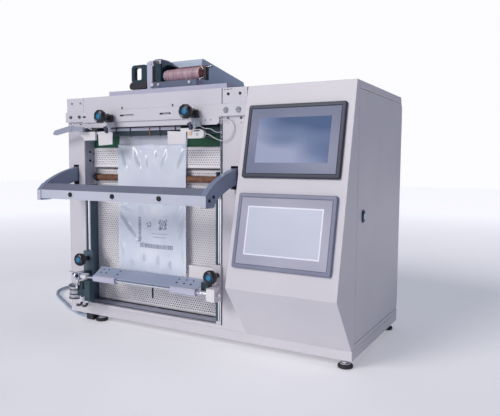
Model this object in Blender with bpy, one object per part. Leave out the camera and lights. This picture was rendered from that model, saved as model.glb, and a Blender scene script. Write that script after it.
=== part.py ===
"""A tabletop bagging machine: film feed, heat-seal jaw, bag shelf, ribbon printer and control cabinet.

Sizes are in millimetres in the machine's own frame: X from the left side panel, Y from the
front panel towards the back, Z from the underside of the base. Every mesh is stored in metres.
The world origin is under the middle of the machine, on the surface that its feet stand on.
"""

import math

import bmesh
import bpy
from mathutils import Matrix, Vector

MM = 0.001
GAP = 0.3

# Driving dimensions.
WIDTH = 740.0
DEPTH = 330.0
HEIGHT = 530.0
BAY_WIDTH = 511.0
FOOT_HEIGHT = 18.0
SHEET = 2.5
BASE_HEIGHT = 20.0

# The window in the front panel, and the inner walls beside it.
WINDOW = (54.0, 448.0)
WINDOW_Z = (28.0, 456.0)
WALL_BACK = 44.0
RAIL_Z = (34.0, 300.0)
LOWER_PLATE_Y = 42.0
UPPER_PLATE_Y = 31.5

# The rollers: centre (Y, Z) and radius.
FEED_ROLLER = (20.0, 447.0, 10.0)
NIP_ROLLER = (40.5, 449.0, 9.0)
SEAL_ROLLER = (32.0, 338.5, 7.5)
JOURNAL_RADIUS = 4.0
FILM_Y = 23.5
FILM_THICK = 0.7

# The sealing jaw: its pivot (Y, Z), the arms' inner and outer radius, and how far it closes.
JAW_PIVOT = (54.0, 68.0)
JAW_INNER = 267.5
JAW_OUTER = 300.2
JAW_CLOSE = 18.5
JAW_ARMS = ((19.0, 31.0), (473.0, 485.0))
JAW_SHAFT_RADIUS = 7.0
PAD_X = (71.0, 431.0)
PAD_Z = (329.5, 347.5)
PAD_FACE = 23.2
PAD_THICK = 2.0

# The nip lever's pivot (X, Z) on the front panel, and the door latch's (Y, Z) on the side door.
NIP_PIVOT = (43.0, 455.0)
LATCH_PIVOT = (49.0, 274.0)

# The bag shelf: its rod (Y, Z), and the knobs that clamp things.
SHELF_ROD = (-36.0, 102.0)
ROD_RADIUS = 4.0
KNOB_RADIUS = 15.4
UPPER_KNOBS = ((148.0, 479.0), (387.0, 481.0))
SHELF_KNOBS = ((66.5, 140.5), (441.0, 136.5))

# The cabinet's sloping console.
CONSOLE_KNEE = (-88.0, 133.0)
CONSOLE_SILL = (-2.0, 22.0)
CONSOLE_TILT = math.atan2(-CONSOLE_KNEE[0], HEIGHT - CONSOLE_KNEE[1])
PANEL_X = 522.7
PANEL_SIZE = (203.4, 145.9)
PANEL_STARTS = (42.3, 218.8)
SCREEN_INSET = 21.0

# What reaches furthest on each side, which sets where the middle is.
LEVER_TIP = -17.0
LATCH_FACE = 744.0
JAW_FRONT = -114.0
SCREW_HEAD = 3.0
INLET_BACK = 334.0
CENTRE = ((LEVER_TIP + LATCH_FACE) / 2, (JAW_FRONT - SCREW_HEAD + INLET_BACK) / 2)

HOSE_RADIUS = 4.9
HOSE_Z = -13.0
HOSE_ROUTE = (
    (40.0, 17.0), (33.0, 17.0), (20.0, 18.0), (0.0, 22.5), (-26.0, 32.0), (-60.0, 49.5), (-111.0, 79.0),
    (-163.0, 109.0), (-206.0, 138.0), (-237.0, 172.0), (-250.0, 212.0), (-243.0, 258.0),
    (-217.0, 302.0), (-176.0, 341.0), (-126.0, 370.0), (-72.0, 385.0), (-24.0, 386.0),
    (12.0, 375.0), (33.0, 355.0), (39.6, 341.0), (40.0, 336.0), (40.0, 332.0), (40.0, 328.1),
)

MACHINE = Matrix.Translation(Vector((-CENTRE[0], -CENTRE[1], FOOT_HEIGHT)) * MM)
# In the console's frame X is the machine's, Y runs up the slope from its top edge, Z stands out of it.
CONSOLE = MACHINE @ Matrix.Translation((0, 0, HEIGHT * MM)) @ Matrix.Rotation(
    math.pi / 2 - CONSOLE_TILT, 4, "X"
)

# Colour, roughness, metallic.
FINISHES = {
    "body_paint": ((0.72, 0.69, 0.71), 0.45, 0.0),
    "jaw_paint": ((0.45, 0.49, 0.60), 0.4, 0.1),
    "plate_steel": ((0.62, 0.58, 0.62), 0.4, 0.3),
    "steel": ((0.62, 0.64, 0.68), 0.25, 1.0),
    "chrome": ((0.80, 0.82, 0.86), 0.1, 1.0),
    "black_plastic": ((0.02, 0.022, 0.028), 0.4, 0.0),
    "blue_grey_plastic": ((0.24, 0.29, 0.38), 0.45, 0.0),
    "bezel": ((0.10, 0.11, 0.17), 0.4, 0.0),
    "screen": ((0.42, 0.45, 0.58), 0.15, 0.0),
    "rubber": ((0.03, 0.03, 0.035), 0.7, 0.0),
    "roller_rubber": ((0.05, 0.09, 0.11), 0.55, 0.0),
    "seal_sleeve": ((0.28, 0.13, 0.07), 0.5, 0.0),
    "silicone": ((0.45, 0.16, 0.10), 0.6, 0.0),
    "green_paint": ((0.0, 0.09, 0.045), 0.4, 0.0),
    "teal_paint": ((0.05, 0.12, 0.16), 0.4, 0.2),
    "white_plastic": ((0.80, 0.78, 0.80), 0.5, 0.0),
    "film": ((0.62, 0.68, 0.80), 0.25, 0.0),
    "ribbon": ((0.35, 0.16, 0.13), 0.4, 0.0),
    "hose": ((0.28, 0.33, 0.42), 0.4, 0.0),
}


# Shapes. Each returns a mesh object in the machine's frame, still without a name of its own.

def new_object(mesh_data):
    mesh = bpy.data.meshes.new("shape")
    mesh_data.to_mesh(mesh)
    mesh_data.free()
    shape = bpy.data.objects.new("shape", mesh)
    bpy.context.scene.collection.objects.link(shape)
    return shape


def prism(axis, outline, low, high):
    """An outline of (u, v) points pushed along an axis. u and v are the two other axes, in X, Y, Z order."""
    def point(u, v, along):
        values = [u, v]
        values.insert("XYZ".index(axis), along)
        return Vector(values) * MM

    mesh = bmesh.new()
    bottom = [mesh.verts.new(point(u, v, low)) for u, v in outline]
    top = [mesh.verts.new(point(u, v, high)) for u, v in outline]
    mesh.faces.new(bottom)
    mesh.faces.new(top)
    for i in range(len(outline)):
        j = (i + 1) % len(outline)
        mesh.faces.new((bottom[i], bottom[j], top[j], top[i]))
    bmesh.ops.recalc_face_normals(mesh, faces=mesh.faces)
    return new_object(mesh)


def box(x, y, z):
    return prism("Z", [(x[0], y[0]), (x[1], y[0]), (x[1], y[1]), (x[0], y[1])], *z)


def arc(centre, radius, start, end, steps):
    """Points on a circle, from one angle to another, in degrees."""
    angles = [math.radians(start + (end - start) * i / steps) for i in range(steps + 1)]
    return [(centre[0] + radius * math.cos(a), centre[1] + radius * math.sin(a)) for a in angles]


def turned(axis, centre, profile, segments=28):
    """A solid of revolution. profile lists (radius, place along the axis), from one end to the other."""
    mesh = bmesh.new()
    rings = []
    for radius, along in profile:
        ring = []
        for u, v in arc(centre, radius, 0, 360, segments)[:-1]:
            values = [u, v]
            values.insert("XYZ".index(axis), along)
            ring.append(mesh.verts.new(Vector(values) * MM))
        rings.append(ring)
    mesh.faces.new(rings[0])
    mesh.faces.new(rings[-1])
    for first, second in zip(rings, rings[1:]):
        for i in range(segments):
            j = (i + 1) % segments
            mesh.faces.new((first[i], first[j], second[j], second[i]))
    bmesh.ops.recalc_face_normals(mesh, faces=mesh.faces)
    return new_object(mesh)


def rod(axis, centre, radius, low, high, segments=24):
    return turned(axis, centre, [(radius, low), (radius, high)], segments)


def combine(shape, tools, operation):
    """Unites the tools with the shape, or cuts them from it, and uses them up."""
    for tool in tools:
        modifier = shape.modifiers.new("combine", "BOOLEAN")
        modifier.operation = operation
        modifier.solver = "EXACT"
        modifier.object = tool
        bpy.context.view_layer.update()
        graph = bpy.context.evaluated_depsgraph_get()
        result = bpy.data.meshes.new_from_object(shape.evaluated_get(graph))
        shape.modifiers.clear()
        shape.data = result
        bpy.data.objects.remove(tool)
    return shape


def join(shape, *tools):
    return combine(shape, tools, "UNION")


def cut(shape, *tools):
    return combine(shape, tools, "DIFFERENCE")


def material(finish):
    found = bpy.data.materials.get(finish)
    if found:
        return found
    colour, roughness, metallic = FINISHES[finish]
    made = bpy.data.materials.new(finish)
    made.use_nodes = True
    surface = made.node_tree.nodes["Principled BSDF"]
    surface.inputs["Base Color"].default_value = (*colour, 1.0)
    surface.inputs["Roughness"].default_value = roughness
    surface.inputs["Metallic"].default_value = metallic
    return made


def part(name, shape, finish, pivot=(0.0, 0.0, 0.0), place=MACHINE):
    """Names a finished solid, gives it its finish, and puts its origin at the pivot of its motion."""
    shape.name = name
    shape.data.name = name
    shape.data.materials.clear()
    shape.data.materials.append(material(finish))
    origin = Vector(pivot) * MM
    shape.data.transform(Matrix.Translation(-origin))
    shape.matrix_world = place @ Matrix.Translation(origin)
    shape.data.shade_smooth()
    shape.data.set_sharp_from_angle(angle=math.radians(35))
    return shape


def swing(point, degrees):
    """Turns a (Y, Z) point about the jaw's pivot. Positive opens the jaw."""
    angle = math.radians(degrees)
    y = point[0] - JAW_PIVOT[0]
    z = point[1] - JAW_PIVOT[1]
    return (
        JAW_PIVOT[0] + y * math.cos(angle) - z * math.sin(angle),
        JAW_PIVOT[1] + y * math.sin(angle) + z * math.cos(angle),
    )


# The base, its feet and the bay's panels.

def make_base():
    tray = box((0, WIDTH), (0, DEPTH), (0, BASE_HEIGHT))
    tray = cut(tray, box((3, WIDTH - 3), (3, DEPTH - 3), (3, BASE_HEIGHT + 1)))
    port = box((27, 53), (304, 325), (-17.5, 1))
    port = join(port, rod("Y", (40, HOSE_Z), 4.9, 320, 327.7))
    part("base_frame", join(tray, port), "body_paint")
    profile = [(14, -18), (15, -17), (15, -12), (12, -9.5), (5, -9.5), (5, -GAP)]
    for name, x, y in (
        ("foot_front_left", 86, 18), ("foot_front_right", 722, 16),
        ("foot_rear_left", 86, 306), ("foot_rear_right", 722, 306),
    ):
        part(name, turned("Z", (x, y), profile, 24), "rubber")


def make_bay():
    low = BASE_HEIGHT + GAP
    side = [(0, low), (DEPTH, low), (DEPTH, 518), (DEPTH - 9, HEIGHT - GAP), (0, HEIGHT - GAP)]
    part("left_side_panel", prism("X", side, 0, SHEET), "body_paint")

    left = SHEET + GAP
    right = BAY_WIDTH - GAP
    front = box((left, right), (0, 3), (low, 526.7))
    for wall_x in ((WINDOW[0] - 3, WINDOW[0]), (WINDOW[1], WINDOW[1] + 3)):
        front = join(front, box(wall_x, (2, WALL_BACK), (WINDOW_Z[0], 526.7)))
    front = cut(front, box(WINDOW, (-1, 4), WINDOW_Z))
    for slot_x in ((16, 34), (471, 488)):
        front = cut(front, box(slot_x, (-1, 4), (320, 369)))
    for y, z, _ in (FEED_ROLLER, NIP_ROLLER, SEAL_ROLLER):
        front = cut(front, rod("X", (y, z), JOURNAL_RADIUS + GAP, 40, 460, 16))
    for holder_x in ((WINDOW[0] - 1, 62), (433, WINDOW[1] + 1)):
        for holder_z in ((WINDOW_Z[0] - 1, RAIL_Z[0] - GAP), (RAIL_Z[1] + GAP, RAIL_Z[1] + 6)):
            front = join(front, box(holder_x, (2, 13), holder_z))
    part("front_panel", front, "body_paint")

    # The rear panel bends forward at its top edge, parallel to the chamfer of the side panel.
    outside = DEPTH - GAP
    inside = DEPTH - SHEET
    rear = [
        (inside, low), (outside, low), (outside, 518), (outside - 8.7, 526.7), (inside - 9.5, 526.7),
        (inside, 517),
    ]
    part("rear_panel", prism("X", rear, left, right), "body_paint")
    top = box((left, right), (0.2, outside - 9), (527, HEIGHT - GAP))
    part("top_panel", top, "body_paint")


def make_header():
    backing = box((GAP, BAY_WIDTH - GAP), (-2, -GAP), (497, HEIGHT - GAP))
    for span in ((GAP, 56), (56.8, 450.6), (451.4, BAY_WIDTH - GAP)):
        backing = join(backing, box(span, (-3.2, -1), (497, HEIGHT - GAP)))
    for x in (18, 47, 466, 494):
        backing = join(backing, rod("Y", (x, 517), 2.8, -4.2, -2, 12))
    part("header_plate", backing, "body_paint")

    beam = box((-2, BAY_WIDTH - GAP), (-6, -GAP), (472, 496.6))
    beam = join(beam, box((56, 450), (-2.5, -GAP), (457, 473)))
    for slot_x in ((174, 215), (290, 320)):
        beam = cut(beam, box(slot_x, (-7, 1), (481, 485)))
    for x, radius in ((16, 3.2), (45, 3.2), (462, 4.5), (492, 4.5)):
        beam = join(beam, rod("Y", (x, 484), radius, -9, -5, 12))
    part("slotted_beam", beam, "body_paint")


def make_guides():
    inside = (WINDOW[0] + GAP, WINDOW[1] - GAP)
    upper = box(inside, (UPPER_PLATE_Y, UPPER_PLATE_Y + 1.5), (363, 410.5))
    part("upper_guide_plate", upper, "plate_steel")
    lower = box(inside, (LOWER_PLATE_Y, LOWER_PLATE_Y + 1.5), (31, 360))
    part("lower_guide_plate", lower, "plate_steel")
    part("green_guide_bar", box(inside, (32.3, 36.3), (411, 438)), "green_paint")
    for name, x in (("left_rail", 57.8), ("right_rail", 437.6)):
        part(name, rod("Z", (x, 8), 3.2, *RAIL_Z, 16), "chrome")

    # Thin hooks hang from a bar behind the header and hold the film to the feed roller.
    fingers = box((120, 340), (4, 7), (460, 468))
    for x in (150.5, 193.5, 250.5, 279.5, 322.5):
        hook = [(4, 466), (4, 444), (6, 437), (9, 433), (11, 435), (8, 440), (6.5, 446), (6.5, 466)]
        fingers = join(fingers, prism("X", hook, x, x + 3))
    part("film_guide_fingers", fingers, "black_plastic")


def make_film():
    back = 30.4
    front_line = [(FILM_Y, 117), (FILM_Y, 352), (back, 441), (back, 449)]
    back_line = [(y + FILM_THICK, z) for y, z in reversed(front_line)]
    part("poly_bag", prism("X", front_line + back_line, 139, 339), "film")


# The rollers and what drives them.

def roller(name, place, ends, finish, flange=None):
    """A roller between two journals that run in the inner walls. A flange is (radius, width)."""
    y, z, radius = place
    low, high = ends
    profile = [(JOURNAL_RADIUS, 47), (JOURNAL_RADIUS, low)]
    if flange:
        profile += [(flange[0], low), (flange[0], low + flange[1])]
        profile += [(radius, low + flange[1]), (radius, high - flange[1])]
        profile += [(flange[0], high - flange[1]), (flange[0], high)]
    else:
        profile += [(radius, low), (radius, high)]
    profile += [(JOURNAL_RADIUS, high), (JOURNAL_RADIUS, 455)]
    part(name, turned("X", (y, z), profile, 24), finish, (0, y, z))


def make_rollers():
    roller("feed_roller", FEED_ROLLER, (60, 440), "roller_rubber")
    roller("nip_roller", NIP_ROLLER, (60, 440), "roller_rubber")
    roller("seal_roller", SEAL_ROLLER, (60, 442), "seal_sleeve", (9.4, 9))

    motor = box((458, 498), (70, 104), (430, 464))
    motor = join(motor, rod("X", (87, 447), 13, 452, 459, 20))
    motor = join(motor, box((462, 494), (60, 72), (424, 470)))
    part("feed_motor", motor, "black_plastic")

    # The nip lever: a pressed plate on a pivot, which reaches out over the left corner.
    lever = [
        (LEVER_TIP, 442), (LEVER_TIP + 3, 448), (-8, 452), (38, 461), (50, 461), (84, 457), (84, 447),
        (50, 449), (30, 447), (-8, 440),
    ]
    grip = prism("Y", lever, -34, -28)
    grip = join(grip, rod("Y", NIP_PIVOT, 5.5, -35, -GAP, 20))
    part("nip_lever", grip, "jaw_paint", (NIP_PIVOT[0], 0, NIP_PIVOT[1]))


# The sealing jaw.

def make_jaw():
    crest = (-97.2, 326.0)
    heel = (-84.6, 288.0)
    front = [heel, (JAW_FRONT, 288), (JAW_FRONT, 312), (-100, 326), crest]
    bar = prism("X", front, JAW_ARMS[0][1] + GAP, JAW_ARMS[1][0] - GAP)
    carrier_y = (-8, PAD_FACE - PAD_THICK - GAP)
    carrier_z = (PAD_Z[0] + 1.5, PAD_Z[1] - 1.5)
    carrier = [(y, carrier_z[i]) for i in (0, 1) for y in carrier_y[::1 - 2 * i]]
    bar = join(bar, prism("X", [swing(p, JAW_CLOSE) for p in carrier], *PAD_X))
    button_head = [(3, JAW_FRONT - SCREW_HEAD), (4.5, JAW_FRONT - SCREW_HEAD / 2), (4.5, JAW_FRONT + 2)]
    for x in (125, 248, 372):
        bar = join(bar, turned("Y", (x, 303), button_head, 16))
    part("jaw_bar", bar, "jaw_paint", (0, *JAW_PIVOT))

    pad_y = (PAD_FACE - PAD_THICK, PAD_FACE)
    pad = [(y, PAD_Z[i]) for i in (0, 1) for y in pad_y[::1 - 2 * i]]
    part("jaw_pad", prism("X", [swing(p, JAW_CLOSE) for p in pad], *PAD_X), "silicone", (0, *JAW_PIVOT))

    sweep = [crest] + arc(JAW_PIVOT, JAW_OUTER, 118, 78, 20) + arc(JAW_PIVOT, JAW_INNER, 78, 119.5, 20)
    lever = [(JAW_PIVOT[0] - 9, JAW_PIVOT[1]), (JAW_PIVOT[0] + 9, JAW_PIVOT[1])]
    lever += arc(JAW_PIVOT, JAW_OUTER - 6, 78.4, 84, 3)
    for name, span in zip(("jaw_arm_left", "jaw_arm_right"), JAW_ARMS):
        arm = prism("X", sweep + front[:4], *span)
        arm = join(arm, prism("X", lever, *span))
        arm = join(arm, rod("X", JAW_PIVOT, 15, span[0], span[1], 24))
        arm = cut(arm, rod("X", JAW_PIVOT, JAW_SHAFT_RADIUS + GAP, span[0] - 1, span[1] + 1, 24))
        part(name, arm, "jaw_paint", (0, *JAW_PIVOT))
    shaft = rod("X", JAW_PIVOT, JAW_SHAFT_RADIUS, 7, 503, 24)
    part("jaw_shaft", shaft, "steel", (0, *JAW_PIVOT))

    for name, span in (("jaw_bearing_left", (5, 15)), ("jaw_bearing_right", (491, 501))):
        block = box(span, (38, 70), (3 + GAP, 86))
        block = cut(block, rod("X", JAW_PIVOT, JAW_SHAFT_RADIUS + GAP, 0, 510, 24))
        part(name, block, "steel")

    gearbox = box((222, 286), (44.6, 112), (30, 108))
    gearbox = join(gearbox, box((230, 278), (60, 108), (3 + GAP, 31)))
    gearbox = join(gearbox, rod("X", (88, 68), 24, 285, 372, 24))
    gearbox = cut(gearbox, rod("X", JAW_PIVOT, JAW_SHAFT_RADIUS + GAP, 200, 400, 24))
    part("jaw_gearmotor", gearbox, "black_plastic")


# Knobs, the bag guides on the slotted beam, and the shelf.

def knob(name, x, z, face, foot):
    """A clamp knob on a threaded stem, its axis along Y."""
    r = KNOB_RADIUS
    profile = [
        (7.5, face + 1.2), (8.5, face), (r - 3, face), (r, face + 3), (r, face + 12),
        (r - 4, face + 16), (6, face + 18), (6, foot - GAP),
    ]
    part(name, turned("Y", (x, z), profile, 28), "black_plastic", (x, 0, z))


def make_bag_guides():
    beam_front = -9.4
    x, z = UPPER_KNOBS[0]
    left = box((x - 18, x + 18), (beam_front - 8, beam_front), (z - 20, z + 8))
    left = join(left, box((118, 150), (-20, -14), (440, z - 18)))
    left = join(left, box((113, 159), (-16, -13.5), (414, 444)))
    left = join(left, box((64, 120), (-20, -13.5), (426, 447)))
    part("left_bag_guide", left, "white_plastic")
    knob("left_guide_knob", x, z, -50, beam_front - 8)

    x, z = UPPER_KNOBS[1]
    right = box((x - 18, x + 18), (beam_front - 8, beam_front), (z - 20, z + 8))
    right = join(right, box((340, 400), (-20, -14), (440, z - 18)))
    right = join(right, box((318, 368), (-16, -13.5), (414, 444)))
    part("right_bag_guide", right, "white_plastic")
    knob("right_guide_knob", x, z, -50, beam_front - 8)
    sensor = box((370, 412), (-13.2, -4), (427, 446))
    sensor = join(sensor, rod("Y", (377, 437), 3, -14.6, -12, 16))
    part("bag_sensor", sensor, "white_plastic")


def make_shelf():
    rod_y, rod_z = SHELF_ROD
    slides = (
        ("left_shelf_slide", (50, 82), (54.6, 61.2), (58, 75), -4, "teal_paint"),
        ("right_shelf_slide", (430, 450), (434.2, 441), (441, 462), -29, "body_paint"),
    )
    for name, plate_x, tongue_x, clamp_x, clamp_back, finish in slides:
        slide = box(plate_x, (-6, -1), (78, 158))
        slide = join(slide, box(tongue_x, (-2, 4.2), (80, 140)))
        slide = join(slide, box(clamp_x, (-48, clamp_back), (88, 116)))
        if name.startswith("right"):
            slide = join(slide, box((441, 448), (-30, -4), (92, 116)))
            slide = join(slide, box((367, 432), (-4, -2), (123, 152)))
        slide = cut(slide, rod("X", SHELF_ROD, ROD_RADIUS + GAP, clamp_x[0] - 2, clamp_x[1] + 2))
        part(name, slide, finish)
    for name, (x, z) in zip(("left_shelf_knob", "right_shelf_knob"), SHELF_KNOBS):
        knob(name, x, z, -40, -6)

    part("shelf_rod", rod("X", SHELF_ROD, ROD_RADIUS, 46, 466), "chrome", (0, rod_y, rod_z))
    ledge = [(rod_y, rod_z + 5), (rod_y + 2, rod_z + 4), (-7.4, 122.5), (-8.6, 124.5)]
    plate = prism("X", ledge, 112, 412)
    for hub_x in ((117, 184), (344, 409)):
        plate = join(plate, box(hub_x, (rod_y - 8, rod_y + 8), (rod_z - 8, rod_z + 7)))
        bore = rod("X", SHELF_ROD, ROD_RADIUS + GAP, hub_x[0] - 1, hub_x[1] + 1)
        plate = cut(plate, bore)
    part("bag_shelf", plate, "jaw_paint", (0, rod_y, rod_z))

    # The air actuator that tips the shelf hangs under the left clamp.
    actuator = box((88, 105), (-42, -26), (44, 93))
    actuator = join(actuator, rod("Z", (44, -26), 17, 41, 78, 20))
    actuator = join(actuator, box((44, 89), (-36, -20), (50, 72)))
    actuator = join(actuator, box((65, 76), (-36, -20), (70, 88)))
    part("shelf_actuator", actuator, "teal_paint")


# The cabinet and what is in and on it.

def make_cabinet():
    left = BAY_WIDTH + GAP
    low = BASE_HEIGHT + GAP
    outline = [
        (CONSOLE_SILL[0], low), CONSOLE_KNEE, (0, HEIGHT), (DEPTH - 12, HEIGHT),
        (DEPTH, HEIGHT - 12), (DEPTH, low),
    ]
    shell = prism("X", outline, left, WIDTH - 3)
    inner = [
        (CONSOLE_SILL[0] + 3, low + 3), (CONSOLE_KNEE[0] + 4, CONSOLE_KNEE[1]), (3, HEIGHT - 3),
        (DEPTH - 13, HEIGHT - 3), (DEPTH - 3, HEIGHT - 14), (DEPTH - 3, low + 3),
    ]
    shell = cut(shell, prism("X", inner, left + 2, WIDTH))
    for start in PANEL_STARTS:
        y0, y1 = start + 14, start + PANEL_SIZE[1] - 14
        hole = prism("X", [
            (-(y * math.sin(CONSOLE_TILT)) + n * math.cos(CONSOLE_TILT),
             HEIGHT - y * math.cos(CONSOLE_TILT) - n * math.sin(CONSOLE_TILT))
            for y, n in ((y0, -6), (y1, -6), (y1, 8), (y0, 8))
        ], PANEL_X + 14, PANEL_X + PANEL_SIZE[0] - 14)
        shell = cut(shell, hole)
    # The right side is fixed in front of the door, under it and over it.
    fixed = (
        [(CONSOLE_SILL[0], low), CONSOLE_KNEE, (0, HEIGHT), (14, HEIGHT), (14, low)],
        [(13, low), (13, 30), (DEPTH, 30), (DEPTH, low)],
        [(13, 516), (DEPTH - 4, 516), (DEPTH - 12, HEIGHT), (13, HEIGHT)],
    )
    for outline in fixed:
        shell = join(shell, prism("X", outline, WIDTH - 4, WIDTH))
    part("cabinet_shell", shell, "body_paint")


def make_door():
    door = [(15, 31), (DEPTH - 5, 31), (DEPTH, 37), (DEPTH, 506), (DEPTH - 6, 515), (15, 515)]
    panel = prism("X", door, WIDTH - 2.6, WIDTH)
    panel = cut(panel, rod("X", LATCH_PIVOT, 5 + GAP, WIDTH - 4, WIDTH + 1, 20))
    part("side_door", panel, "body_paint", (WIDTH, DEPTH, 0))
    # A handle outside and a cam inside, on one spindle. The cam points up when the latch is open.
    y, z = LATCH_PIVOT
    latch = rod("X", LATCH_PIVOT, 5, WIDTH - 7, WIDTH + 1, 20)
    latch = join(latch, box((WIDTH + GAP, LATCH_FACE), (y - 7, y + 7), (z - 11, z + 11)))
    latch = join(latch, box((WIDTH - 7, WIDTH - 4.4), (y - 6, y + 6), (z - 8, z + 38)))
    part("door_latch", latch, "blue_grey_plastic", (0, y, z))


def make_panels():
    """Two touch panels, each a bezel with a screen let into it, standing out of the sloping console."""
    width, height = PANEL_SIZE
    for name, start in zip(("upper", "lower"), PANEL_STARTS):
        x = (PANEL_X, PANEL_X + width)
        y = (-start - height, -start)
        bezel = box(x, y, (GAP, 7))
        bezel = join(bezel, box((x[0] + 16, x[1] - 16), (y[0] + 16, y[1] - 16), (-32, 2)))
        face_x = (x[0] + SCREEN_INSET, x[1] - SCREEN_INSET)
        face_y = (y[0] + SCREEN_INSET, y[1] - SCREEN_INSET)
        bezel = cut(bezel, box(face_x, face_y, (3, 8)))
        part(f"{name}_panel_bezel", bezel, "bezel", place=CONSOLE)
        inside_x = (face_x[0] + GAP, face_x[1] - GAP)
        inside_y = (face_y[0] + GAP, face_y[1] - GAP)
        part(f"{name}_panel_screen", box(inside_x, inside_y, (3 + GAP, 5)), "screen", place=CONSOLE)


def make_electrics():
    wall = BAY_WIDTH + 2 + 2 * GAP
    plc = box((wall, wall + 70), (150, 280), (260, 360))
    part("controller", plc, "black_plastic")
    supply = box((wall, wall + 50), (150, 290), (100, 200))
    part("power_supply", supply, "steel")
    inlet = box((600, 648), (DEPTH + GAP, INLET_BACK), (60, 92))
    inlet = cut(inlet, box((608, 632), (DEPTH + 1.5, INLET_BACK + 1), (67, 85)))
    part("power_inlet", inlet, "black_plastic")
    fitting = box((45.3, 68), (6, 28), (-17.4, -GAP))
    fitting = join(fitting, rod("X", (17, HOSE_Z), 4.9, 40.3, 46, 16))
    part("air_fitting", fitting, "black_plastic")


# The ribbon printer on top.

def make_printer():
    frame = box((108, 442), (30, 300), (HEIGHT, 545))
    frame = cut(frame, box((111, 439), (33, 297), (HEIGHT - 1, 541)))
    frame = join(frame, box((257, 347), (50, 82), (544, 562)))
    plate = [(204, 540), (222, 540), (222, 612), (204, 612)]
    frame = join(frame, prism("Y", plate, 56, 62))
    frame = join(frame, box((224, 250), (50, 96), (554, 613)))
    frame = join(frame, box((221, 230), (56, 62), (544, 600)))
    part("printer_frame", frame, "blue_grey_plastic")

    oval = []
    for (x, z), (start, end) in zip(
        ((192, 562), (192, 596), (164, 596), (164, 562)), ((-90, 0), (0, 90), (90, 180), (180, 270))
    ):
        oval += arc((x, z), 12, start, end, 5)
    housing = prism("Y", oval, 52, 96)
    window = []
    for (x, z), (start, end) in zip(
        ((182, 576), (182, 597), (172, 597), (172, 576)), ((-90, 0), (0, 90), (90, 180), (180, 270))
    ):
        window += arc((x, z), 5, start, end, 4)
    housing = cut(housing, prism("Y", window, 40, 110))
    part("printer_housing", housing, "black_plastic")

    hood = [(100.4, 545.3), (100.4, 613), (106, 618), (296, 588), (300, 580), (300, 545.3)]
    inside = [(103, 540), (103, 611), (107, 615), (294, 585), (297, 579), (297, 540)]
    hood = cut(prism("X", hood, 150, 331), prism("X", inside, 153, 328))
    part("printer_hood", hood, "blue_grey_plastic")
    for name, y, z, radius, finish in (
        ("ribbon_supply_roll", 66, 577, 14.2, "ribbon"),
        ("ribbon_takeup_roll", 84.6, 594, 4, "ribbon"),
    ):
        ends = [(3, 250.4), (3, 256), (radius, 256), (radius, 356), (3, 356), (3, 369)]
        part(name, turned("X", (y, z), ends, 24), finish, (0, y, z))


# The air hose lies on the surface that the machine stands on.

def smooth(points, per_span):
    """Points on a smooth curve through the given ones."""
    ends = [points[0]] + list(points) + [points[-1]]
    result = []
    for a, b, c, d in zip(ends, ends[1:], ends[2:], ends[3:]):
        for i in range(per_span):
            t = i / per_span
            result.append(tuple(
                0.5 * (2 * q + (r - p) * t + (2 * p - 5 * q + 4 * r - s) * t ** 2 + (3 * q - p - 3 * r + s) * t ** 3)
                for p, q, r, s in zip(a, b, c, d)
            ))
    return result + [points[-1]]


def make_hose():
    curve = bpy.data.curves.new("air_hose", "CURVE")
    curve.dimensions = "3D"
    curve.bevel_depth = HOSE_RADIUS * MM
    curve.bevel_resolution = 2
    curve.use_fill_caps = True
    route = smooth(HOSE_ROUTE, 3)
    spline = curve.splines.new("POLY")
    spline.points.add(len(route) - 1)
    for point, (x, y) in zip(spline.points, route):
        point.co = (x * MM, y * MM, HOSE_Z * MM, 1)
    curve.materials.append(material("hose"))
    hose = bpy.data.objects.new("air_hose", curve)
    bpy.context.scene.collection.objects.link(hose)
    hose.matrix_world = MACHINE


def main():
    for old in list(bpy.data.objects):
        bpy.data.objects.remove(old)
    make_base()
    make_bay()
    make_header()
    make_guides()
    make_film()
    make_rollers()
    make_jaw()
    make_bag_guides()
    make_shelf()
    make_cabinet()
    make_door()
    make_panels()
    make_electrics()
    make_printer()
    make_hose()


main()
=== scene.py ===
"""The looks of the tabletop bagging machine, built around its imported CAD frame."""

import math
import random

import bmesh
import bpy
from mathutils import Matrix, Vector, noise


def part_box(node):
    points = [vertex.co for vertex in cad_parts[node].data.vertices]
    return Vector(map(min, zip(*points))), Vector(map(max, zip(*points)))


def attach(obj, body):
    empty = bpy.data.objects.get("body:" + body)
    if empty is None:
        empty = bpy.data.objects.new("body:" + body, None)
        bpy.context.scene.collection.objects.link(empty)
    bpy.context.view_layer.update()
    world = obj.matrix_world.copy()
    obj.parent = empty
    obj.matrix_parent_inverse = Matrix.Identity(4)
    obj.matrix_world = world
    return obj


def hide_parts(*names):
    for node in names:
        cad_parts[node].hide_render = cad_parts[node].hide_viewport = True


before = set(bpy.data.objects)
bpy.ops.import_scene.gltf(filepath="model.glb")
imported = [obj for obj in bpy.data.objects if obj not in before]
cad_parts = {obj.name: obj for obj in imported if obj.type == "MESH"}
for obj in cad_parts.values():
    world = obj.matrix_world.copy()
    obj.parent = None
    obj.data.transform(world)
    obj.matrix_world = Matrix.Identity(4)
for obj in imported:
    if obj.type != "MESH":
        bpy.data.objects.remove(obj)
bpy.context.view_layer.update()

MM = 0.001
# The machine's own frame: X from the left side panel, Y from the front panel, Z from the base.
CABINET_TOP = 530
ORIGIN = Vector((
    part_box("left_side_panel")[0].x,
    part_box("left_side_panel")[0].y,
    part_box("cabinet_shell")[1].z - CABINET_TOP * MM,
))
# Edges that turn by more than this are sharp ones.
SHARP = math.radians(32)


def at(x, y, z):
    """A point of the machine's own frame, in millimetres, as a place in the world."""
    return ORIGIN + Vector((x, y, z)) * MM


def span(node):
    """A CAD node's lowest and highest corners, in millimetres of the machine's own frame."""
    low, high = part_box(node)
    return (low - ORIGIN) / MM, (high - ORIGIN) / MM


def middle(node):
    low, high = span(node)
    return (low + high) / 2


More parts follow.
